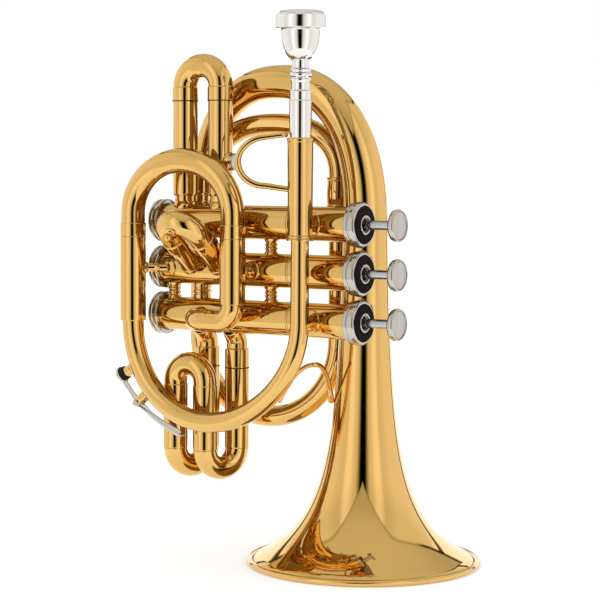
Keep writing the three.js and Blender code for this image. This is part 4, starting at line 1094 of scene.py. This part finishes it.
@dataclass
class FirstSlide(SubAssembly):
    """The first valve's slide, which stands up behind the mouthpiece pipe."""

    left_x: float = -72.8
    right_x: float = -49.6
    stub_r: float = 5.6
    stub_top: float = 196.6
    sleeve_r: float = 6.7
    sleeve_bore: float = 6.05
    sleeve_top: float = 247.0
    ring_r: float = 7.0
    collar_r: float = 7.05
    collar_top: float = 254.6
    bow_r: float = 6.6
    body: str = "first_valve_slide"

    def build(self) -> None:
        """Builds the two outer tubes, the slide, its rings and the stud on the right tube."""
        z, base, bore = VALVE_Z[0], CASING_R - 0.3, self.sleeve_bore
        for side, x in (("left", self.left_x), ("right", self.right_x)):
            stub, top, sleeve, r = self.stub_top - z, self.sleeve_top - z, self.sleeve_r, self.stub_r
            outer = [(r + 0.6, base), (r + 0.6, base + 1.5), (r, base + 1.9), (r, stub - 0.9),
                     (sleeve - 0.35, stub - 0.7), (sleeve - 0.1, stub), (sleeve, stub + 0.3), (sleeve, top)]
            inner = [(r - TUBE_WALL, base), (r - TUBE_WALL, stub + 1.0), (bore, stub + 1.8), (bore, top)]
            shape = tube(outer, inner, edge=0.12, step=0.8)
            seated(shape, base, base + 1.6, CASING_R, Y_AXIS, -1)
            self.piece(f"first_{side}_outer", moved(shape, x, 0, z), f"first_sleeve_{side}")
            ring = moved(stop_ring(self.ring_r, self.sleeve_top + 0.15), x, 0)
            self.piece(f"first_{side}_ring", ring, "", CORK, self.body)
        middle = (self.left_x + self.right_x) / 2
        slide = slide_loop((self.right_x - self.left_x) / 2, leg_r=5.7, leg_low=self.stub_top + 4,
                           seam=self.sleeve_top + 0.3, collar_r=self.collar_r, collar_top=self.collar_top,
                           bow_r=self.bow_r, straight_top=self.collar_top + 0.3, rise=11.0)
        self.piece("first_slide_loop", moved(slide, middle, 0), "first_slide", body=self.body)
        self.stud()

    def stud(self) -> None:
        """A short drum with a round curved foot and a grey disc, on the right tube's +X side."""
        start, face = Vector((self.right_x, 0, 214.0)), self.sleeve_r + 3.6
        low, disc = self.sleeve_r - 0.35, face - 1.2
        drum = solid([(5.3, low), (5.3, low + 0.9), (4.85, low + 1.3), (4.75, low + 1.5), (4.75, disc - 0.2),
                      (4.6, disc + 0.1)], 56, edge=0.12)
        seated(drum, low - 0.1, low + 1.35, self.sleeve_r, Y_AXIS, -1)
        self.piece("first_right_stud", aimed(drum, start, start + X_AXIS))
        pad = solid([(4.7, disc), (4.75, disc + 0.3), (4.75, face - 0.3), (4.5, face), (3.9, face),
                     (3.6, face - 0.35)], 56, edge=0.12)
        self.piece("first_right_stud_disc", aimed(pad, start, start + X_AXIS), finish=NICKEL)


@dataclass
class SecondSlide(SubAssembly):
    """The short second valve slide, which slants out towards the player's hand."""

    tilt: float = math.radians(38)
    x: float = -52.0
    half_pitch: float = 9.0
    root_y: float = -5.5
    root_z: float = 156.4
    r: float = 6.3
    bore: float = 5.65
    leg_r: float = 5.3
    collar_r: float = 6.8
    sleeve_end: float = 21.0
    body: str = "second_valve_slide"

    def lay(self, bm: Mesh, side: int = 0) -> Mesh:
        """Lays a piece made about +Z along the slide's slant, on one of its sides or its middle."""
        place = Matrix.Translation((self.x + side * self.half_pitch, self.root_y, self.root_z))
        bmesh.ops.transform(bm, matrix=place @ Matrix.Rotation(math.pi / 2 - self.tilt, 4, "X"),
                            verts=bm.verts)
        return bm

    def build(self) -> None:
        """Builds the two outer tubes, the slide and its pull knob."""
        off_axis = 3.47
        reach = math.sqrt(CASING_R ** 2 - off_axis ** 2)
        base = reach - 4.75
        for name, side in (("left", -1), ("right", 1)):
            r = self.r
            outer = [(r + 0.5, base), (r + 0.5, base + 1.9), (r, base + 2.2), (r, self.sleeve_end)]
            shape = tube(outer, self.bore, edge=0.12, step=0.8)
            seated(shape, base, base + 2.0, CASING_R, Y_AXIS, -1, off_axis)
            shape = clear_of_bore(self.lay(shape, side), VALVE_Z[1])
            self.piece(f"second_{name}_outer", shape, f"second_sleeve_{name}")
        slide = slide_loop(self.half_pitch, leg_r=self.leg_r, leg_low=CASING_R, seam=self.sleeve_end + 0.1,
                           collar_r=self.collar_r, collar_top=27.0, bow_r=self.r, straight_top=32.0,
                           rise=10.0)
        self.piece("second_slide_loop", self.lay(merged(slide, self.knob())), "second_slide", body=self.body)

    @staticmethod
    def knob() -> Mesh:
        """The pull knob on a saddle, square to the slide on its bow's underside."""
        r, middle = 2.0, 4.9
        profile = [(0.0, 0.0), (3.0, 0.0), (3.0, 1.7), (2.6, 2.0), (1.6, 2.2), (1.25, 2.6), *ball(r, middle),
                   (0.0, middle + r)]
        root = Vector((0, -5.0, 41.9))
        return aimed(turned(profile, 36, edge=0.1), root, root - Y_AXIS)


@dataclass
class ThirdSlide(SubAssembly):
    """The third valve's double slide, which hangs under the casings and pulls down."""

    back_y: float = 8.0
    front_y: float = -10.2
    back_right: float = -43.8
    back_left: float = -63.3
    front_right: float = -52.3
    front_left: float = -71.9
    stem_r: float = 5.7
    stem_wall: float = 0.7
    tube_r: float = 6.6
    tube_bore: float = 6.0
    bow_r: float = 6.3
    tube_low: float = 58.6
    collar_low: float = 102.7
    collar_top: float = 112.8
    loop_z: float = 95.0
    body: str = "third_valve_slide"

    def build(self) -> None:
        """Builds the stems, the outer tubes that slide on them, the front loop and the two bows."""
        for side, x in (("right", self.back_right), ("left", self.back_left)):
            self.stem(side, x)
            top = self.collar_low - 0.1
            r, low = self.tube_r, self.tube_low
            shape = tube([(r - 0.1, low), (r, low + 0.3), (r, top)], self.tube_bore, edge=0.14)
            self.piece(f"third_{side}_outer", moved(shape, x, self.back_y), f"third_tube_{side}",
                       body=self.body)
            ring = moved(stop_ring(self.tube_r, self.collar_low - 0.35), x, self.back_y)
            self.piece(f"third_{side}_ring", ring, finish=CORK)
        self.loop()
        self.bow("right", self.front_right, self.back_right)
        self.bow("left", self.front_left, self.back_left)

    def stem(self, side: str, x: float) -> None:
        """A stem out of the third casing, with the collar that the outer tube stops against."""
        casing_z, low_z = VALVE_Z[2], 62.0
        low, turn_at = Vector((x, self.back_y, low_z)), Vector((x, self.back_y, 116.0))
        inside = Vector((x, 0, casing_z))
        turn_end = turn_at.lerp(inside, 0.35)
        around = Vector((x, self.back_y, (turn_at.z + turn_end.z) / 2))
        landing = inside + (turn_end - inside).normalized() * (CASING_R - 0.3)
        route = Route(straight(low, turn_at), corner(turn_at, around, turn_end), straight(turn_end, landing))
        c0, c1, end, r = self.collar_low - low_z, self.collar_top - low_z, route.length, self.stem_r
        full = self.tube_r
        outer = [(r, 0.0), (r, c0), (full, c0), (full, c1 - 0.3), (full - 0.15, c1), (r, c1 + 0.2), (r, end)]
        shape = tube(outer, r - self.stem_wall, 48, 0.14, 1.2)
        seated(shape, end, end, CASING_R, Y_AXIS, 1)
        bend(shape, route, X_AXIS)
        self.piece(f"third_{side}_stem", clear_of_bore(shape, casing_z), f"third_stem_{side}")

    def loop(self) -> None:
        """The front loop: two tubes and the bow over them, with a seam under the bow."""
        heights = (self.tube_low, self.loop_z)
        left_low, left_high = (Vector((self.front_left, self.front_y, z)) for z in heights)
        right_low, right_high = (Vector((self.front_right, self.front_y, z)) for z in heights)
        route = u_bend(left_low, left_high, right_high, right_low, rise=10.0)
        seam, r = 93.4 - self.tube_low, self.tube_r
        near = [(r - 0.15, 0.0), (r, 0.3), (r, seam - 0.2), (r - 0.1, seam), (self.bow_r, seam + 0.2)]
        shape = bend(tube(both_ends(near, route.length), self.bow_r - TUBE_WALL, 48, 0.14, 1.2), route,
                     Y_AXIS)
        self.piece("third_front_loop", shape, "third_upper_loop", body=self.body)

    def bow(self, side: str, front_x: float, back_x: float) -> None:
        """A bow under the slide, from the front loop to a back tube."""
        start = Vector((front_x, self.front_y, self.tube_low))
        end = Vector((back_x, self.back_y, self.tube_low))
        across = Z_AXIS.cross(end - start).normalized()
        shape = bent_tube(Route(half_bow(start, end, -10.5)), self.bow_r, self.bow_r, TUBE_WALL, across)
        self.piece(f"third_{side}_bow", shape, f"third_bow_{side}", body=self.body)


@dataclass
class WaterKey(SubAssembly):
    """The water key on the mouthpiece pipe's bow: saddle, screw, lever, pad and spring."""

    pivot: Vector = Vector((-88.4, -21.2, 83.0)).freeze()
    nipple: Vector = Vector((-96.6, -21.2, 99.3)).freeze()
    bow_middle: Vector = Vector((-40.35, -21.2, 129.5)).freeze()
    elbow: Vector = Vector((-78.5, -21.2, 75.2)).freeze()
    blade: Vector = Vector((-60.2, -21.2, 67.3)).freeze()
    arm: float = 2.0
    cup_r: float = 4.4
    pad_r: float = 3.7
    pin_r: float = 0.9
    ear_r: float = 1.9
    ear: float = 1.1
    body: str = "water_key"

    def build(self) -> None:
        """Builds the fixed saddle and screw, then the lever, its pad and its spring."""
        inward = (self.bow_middle - self.nipple).normalized()
        back = self.nipple - inward * 5.6
        self.lever(back, inward)
        r = self.pad_r
        pad = turned([(0.0, 2.6), (r, 2.6), (r, 5.2), (r - 0.4, 5.45), (0.0, 5.5)], 40)
        self.piece("water_key_pad", aimed(pad, back, self.nipple), "water_key_cork", CORK, self.body)
        self.saddle()
        self.spring()

    def lever(self, back: Vector, inward: Vector) -> None:
        """The lever: a dished cup, a hub round the pin and a blade that widens to the thumb."""
        r = self.cup_r
        cup = turned([(0.0, 0.0), (r * 0.55, 0.0), (r * 0.85, 0.5), (r, 1.5), (r, 2.7), (0.0, 2.75)], 48)
        hub = solid([(1.9, -self.arm), (2.0, -1.4), (2.0, 1.4), (1.9, self.arm)], 32)
        start = back + inward * 1.1
        front = Route(swing(start, start.lerp(self.pivot, 0.5) + Vector((-0.6, 0, -0.8)), self.pivot))
        bent = self.elbow.lerp(self.blade, 0.45)
        rear = Route(swing(self.pivot, self.elbow + Vector((-0.6, 0, 0.2)), bent), straight(bent, self.blade))
        neck = bar_along(front, [(1.9, 0.0), (1.8, 0.15), (1.5, 0.5), (1.8, 0.95)], 0.42, Z_AXIS)
        widths = [(1.8, 0.02), (1.5, 0.3), (1.7, 0.6), (2.1, 0.85), (2.0, 0.97)]
        blade = bar_along(rear, widths, 0.36, Z_AXIS)
        tip = solid([(0.9, -2.0), (1.1, -1.7), (1.1, 1.7), (0.9, 2.0)], 24)
        shape = merged(aimed(cup, back, self.nipple), aimed(hub, self.pivot, self.pivot + Y_AXIS), neck,
                       blade, aimed(tip, self.blade, self.blade + Y_AXIS))
        self.piece("water_key_arm", shape, "water_key_lever", NICKEL, self.body)

    def saddle(self) -> None:
        """The saddle on the bow: two ears and a base, with a screw through the ears."""
        towards = (self.bow_middle - self.pivot).normalized()
        half, reach = self.ear / 2, 5.6
        middle = self.arm + 0.3 + half
        head = middle + half
        shapes = []
        for side in (-middle, middle):
            shift = Y_AXIS * side
            plate = moved(box((2 * self.ear_r, self.ear, 2 * reach), 0.2, 2), 0, 0, reach)
            shapes.append(aimed(plate, self.pivot + shift, self.pivot + shift + towards))
            eye = solid([(self.ear_r, -half), (self.ear_r, half)], 32)
            shapes.append(aimed(eye, self.pivot + shift, self.pivot + shift + Y_AXIS))
        base = box((8.0, 2 * head, 2.6), 0.5, 3)
        shapes.append(aimed(base, self.pivot + towards * 9.9, self.pivot + towards * 12))
        self.piece("water_key_mount", merged(*shapes), "water_key_saddle")

        screw = turned([(0.0, -head - 0.2), (self.pin_r, -head - 0.2), (self.pin_r, head), (1.7, head),
                        (1.7, head + 0.5), (1.3, head + 0.9), (0.0, head + 1.0)], 32, edge=0.08)
        self.piece("water_key_screw", aimed(screw, self.pivot, self.pivot - Y_AXIS), finish=NICKEL)

    def spring(self) -> None:
        """The wire spring: turns round the hub, one leg under the blade and one on the bow."""
        wire, r, turns, width = 0.32, 2.35, 3, 2.2

        def coil(share: float) -> Vector:
            angle = math.radians(200) - share * (math.tau * turns)
            return self.pivot + Vector((r * math.cos(angle), (share - 0.5) * width, r * math.sin(angle)))
        leg_end = self.elbow.lerp(self.blade, 0.3) + Vector((0.6, -1.1, 1.6))
        rest_end = self.pivot + (self.bow_middle - self.pivot).normalized() * 9 + Vector((3.0, 1.1, -2.0))
        route = Route(straight(leg_end, coil(0.0)), coil, straight(coil(1.0), rest_end))
        shape = bar_along(route, [(wire, 0.0), (wire, 1.0)], 1.0, Vector((0.03, 1, 0.02)), 10)
        self.piece("water_key_spring", shape, "", STEEL, self.body)


@dataclass
class Studio:
    """The white room: floor, soft light all round and the camera of the photograph."""

    camera_at: Vector = Vector((0.561891, -0.895759, 0.213922)).freeze()
    yaw: float = 0.565068
    pitch: float = 0.064319
    roll: float = 0.0046017
    lens: float = 117.998
    shift: tuple[float, float] = (0.004277, -0.017935)
    floor_seen: float = 0.36
    floor_size: float = 30
    floor_tone: Colour = (0.8, 0.8, 0.8)
    floor_glow: float = 0.32
    glow_in_metal: float = 0.25
    warmth: float = 0.03
    middle: float = 0.087
    second_look: float = 0.34

    def build(self) -> None:
        """Puts up the room, the lights and the camera."""
        self.camera()
        self.world()
        self.floor()
        bpy.context.scene.view_settings.view_transform = "Standard"

    def camera(self) -> None:
        """The camera, at the photograph's place and angle."""
        level = Vector((math.cos(self.yaw), math.sin(self.yaw), 0))
        ahead = Z_AXIS.cross(level)
        forward = ahead * math.cos(self.pitch) - Z_AXIS * math.sin(self.pitch)
        over = level.cross(forward)
        right = level * math.cos(self.roll) + over * math.sin(self.roll)
        up = over * math.cos(self.roll) - level * math.sin(self.roll)
        data = bpy.data.cameras.new("camera")
        data.sensor_width = 36
        data.lens = self.lens
        data.shift_x, data.shift_y = self.shift
        data.clip_start, data.clip_end = 0.01, 50
        made = bpy.data.objects.new("camera", data)
        turn = Matrix((right, up, -forward)).transposed().to_4x4()
        made.matrix_world = Matrix.Translation(self.camera_at) @ turn
        bpy.context.scene.collection.objects.link(made)
        bpy.context.scene.camera = made

    def reflected(self, graph: Graph) -> Socket:
        """How bright the studio is that metal sees, by direction.

        Args:
            graph: The world's graph.

        Returns:
            The level: dark behind the camera, pale panels to its sides, a ceiling and a dark line under it.
        """
        direction = graph.place["Generated"]
        towards = Vector((math.sin(self.yaw), -math.cos(self.yaw), 0))
        right = Vector((math.cos(self.yaw), math.sin(self.yaw), 0))
        azimuth = graph.value("ARCTAN2", graph.along(direction, right), graph.along(direction, towards))
        beside = graph.value("ABSOLUTE", graph.plus(azimuth, self.middle))
        height = graph.along(direction, Z_AXIS)

        near = graph.times(graph.band(beside, (0.38, 0.72), (0.8, 1.05)), 0.33)
        wide = graph.plus(graph.ramp(beside, 0.1, 0.38, 0.0, 0.78), graph.ramp(beside, 1.0, 1.6, 0.0, 0.14))
        panel = graph.plus(near, graph.plus(wide, graph.ramp(beside, 2.45, 2.6, 0.0, 0.38)))
        slant = graph.value("SUBTRACT", beside, graph.times(graph.value("MAXIMUM", height, 0.0), 0.5))
        panel = graph.darkened(panel, graph.band(slant, (2.34, 2.38), (2.43, 2.48)), 0.93)
        panel = graph.darkened(panel, graph.ramp(height, 0.3, 0.6), 0.13)

        top = graph.plus(0.385, graph.times(graph.value("SINE", graph.times(beside, 1.1)), 0.46))
        over = graph.value("SUBTRACT", height, top)
        ceiling = graph.ramp(over, -0.01, 0.01)
        room = graph.plus(graph.times(panel, graph.rest(ceiling)),
                          graph.times(graph.ramp(height, 0.45, 0.95, 0.5, 0.68), ceiling))
        line = graph.band(over, (-0.03, -0.005), (0.005, 0.03))
        return graph.darkened(room, line, graph.ramp(beside, 2.1, 2.35, 0.3, 0.93))

    def world(self) -> None:
        """White for the camera, plain light for dull surfaces, and a studio for metal to reflect."""
        world = bpy.data.worlds.new("studio")
        bpy.context.scene.world = world
        world.use_nodes = True
        world.node_tree.nodes.clear()
        graph = Graph(world.node_tree)
        studio = self.reflected(graph)
        rays = graph.new("LightPath").outputs
        glossy = rays["Is Glossy Ray"]
        plain = graph.rest(glossy)
        again = graph.times(graph.value("GREATER_THAN", rays["Glossy Depth"], 1.5), 1 - self.second_look)
        level = graph.plus(graph.times(studio, graph.times(graph.rest(again), glossy)), plain)
        cool = graph.value("MINIMUM", graph.plus(0.6, graph.times(studio, 0.4)), 1.0)
        tint = graph.new("CombineColor", {"Red": 1.0, "Green": graph.rest(graph.times(glossy, self.warmth)),
                                          "Blue": graph.plus(graph.times(cool, glossy), plain)})
        background = graph.new("Background", {"Strength": level, "Color": tint.outputs["Color"]})
        graph.new("OutputWorld", {"Surface": background.outputs["Background"]})

    def floor(self) -> None:
        """A wide white floor that keeps the object's shadow; metal sees only its near part."""
        bm = bmesh.new()
        bmesh.ops.create_grid(bm, x_segments=1, y_segments=1, size=self.floor_size)
        mesh = bpy.data.meshes.new("floor")
        bm.to_mesh(mesh)
        bm.free()
        made = bpy.data.objects.new("floor", mesh)
        bpy.context.scene.collection.objects.link(made)
        material = bpy.data.materials.new("floor_paper")
        material.use_nodes = True
        graph = Graph(material.node_tree)
        rays = graph.new("LightPath").outputs
        glow = graph.plus(graph.times(rays["Is Camera Ray"], self.floor_glow),
                          graph.times(rays["Is Glossy Ray"], self.glow_in_metal))
        paper = graph.feed(graph.nodes["Principled BSDF"], {
            "Base Color": (*self.floor_tone, 1), "Roughness": 1.0, "Specular IOR Level": 0.0,
            "Emission Color": (1, 1, 1, 1), "Emission Strength": glow})
        reach = graph.new("VectorMath", {0: graph.place["Object"]})
        reach.operation = "LENGTH"
        far = graph.value("GREATER_THAN", reach.outputs["Value"], self.floor_seen)
        clear = graph.new("BsdfTransparent").outputs["BSDF"]
        mix = graph.new("MixShader", {"Fac": graph.times(far, rays["Is Glossy Ray"]),
                                      1: paper.outputs["BSDF"], 2: clear})
        graph.feed(graph.nodes["Material Output"], {"Surface": mix.outputs["Shader"]})
        mesh.materials.append(material)


def main() -> None:
    """Builds the trumpet and its studio."""
    logging.basicConfig(level=logging.INFO, format="%(message)s")
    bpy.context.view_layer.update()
    for group in (Valves, BellWrap, MouthPipe, TuningSlide, FirstSlide, SecondSlide, ThirdSlide, WaterKey):
        log.info("building %s", group.__name__)
        group().build()
    Studio().build()


if __name__ == "__main__":
    main()
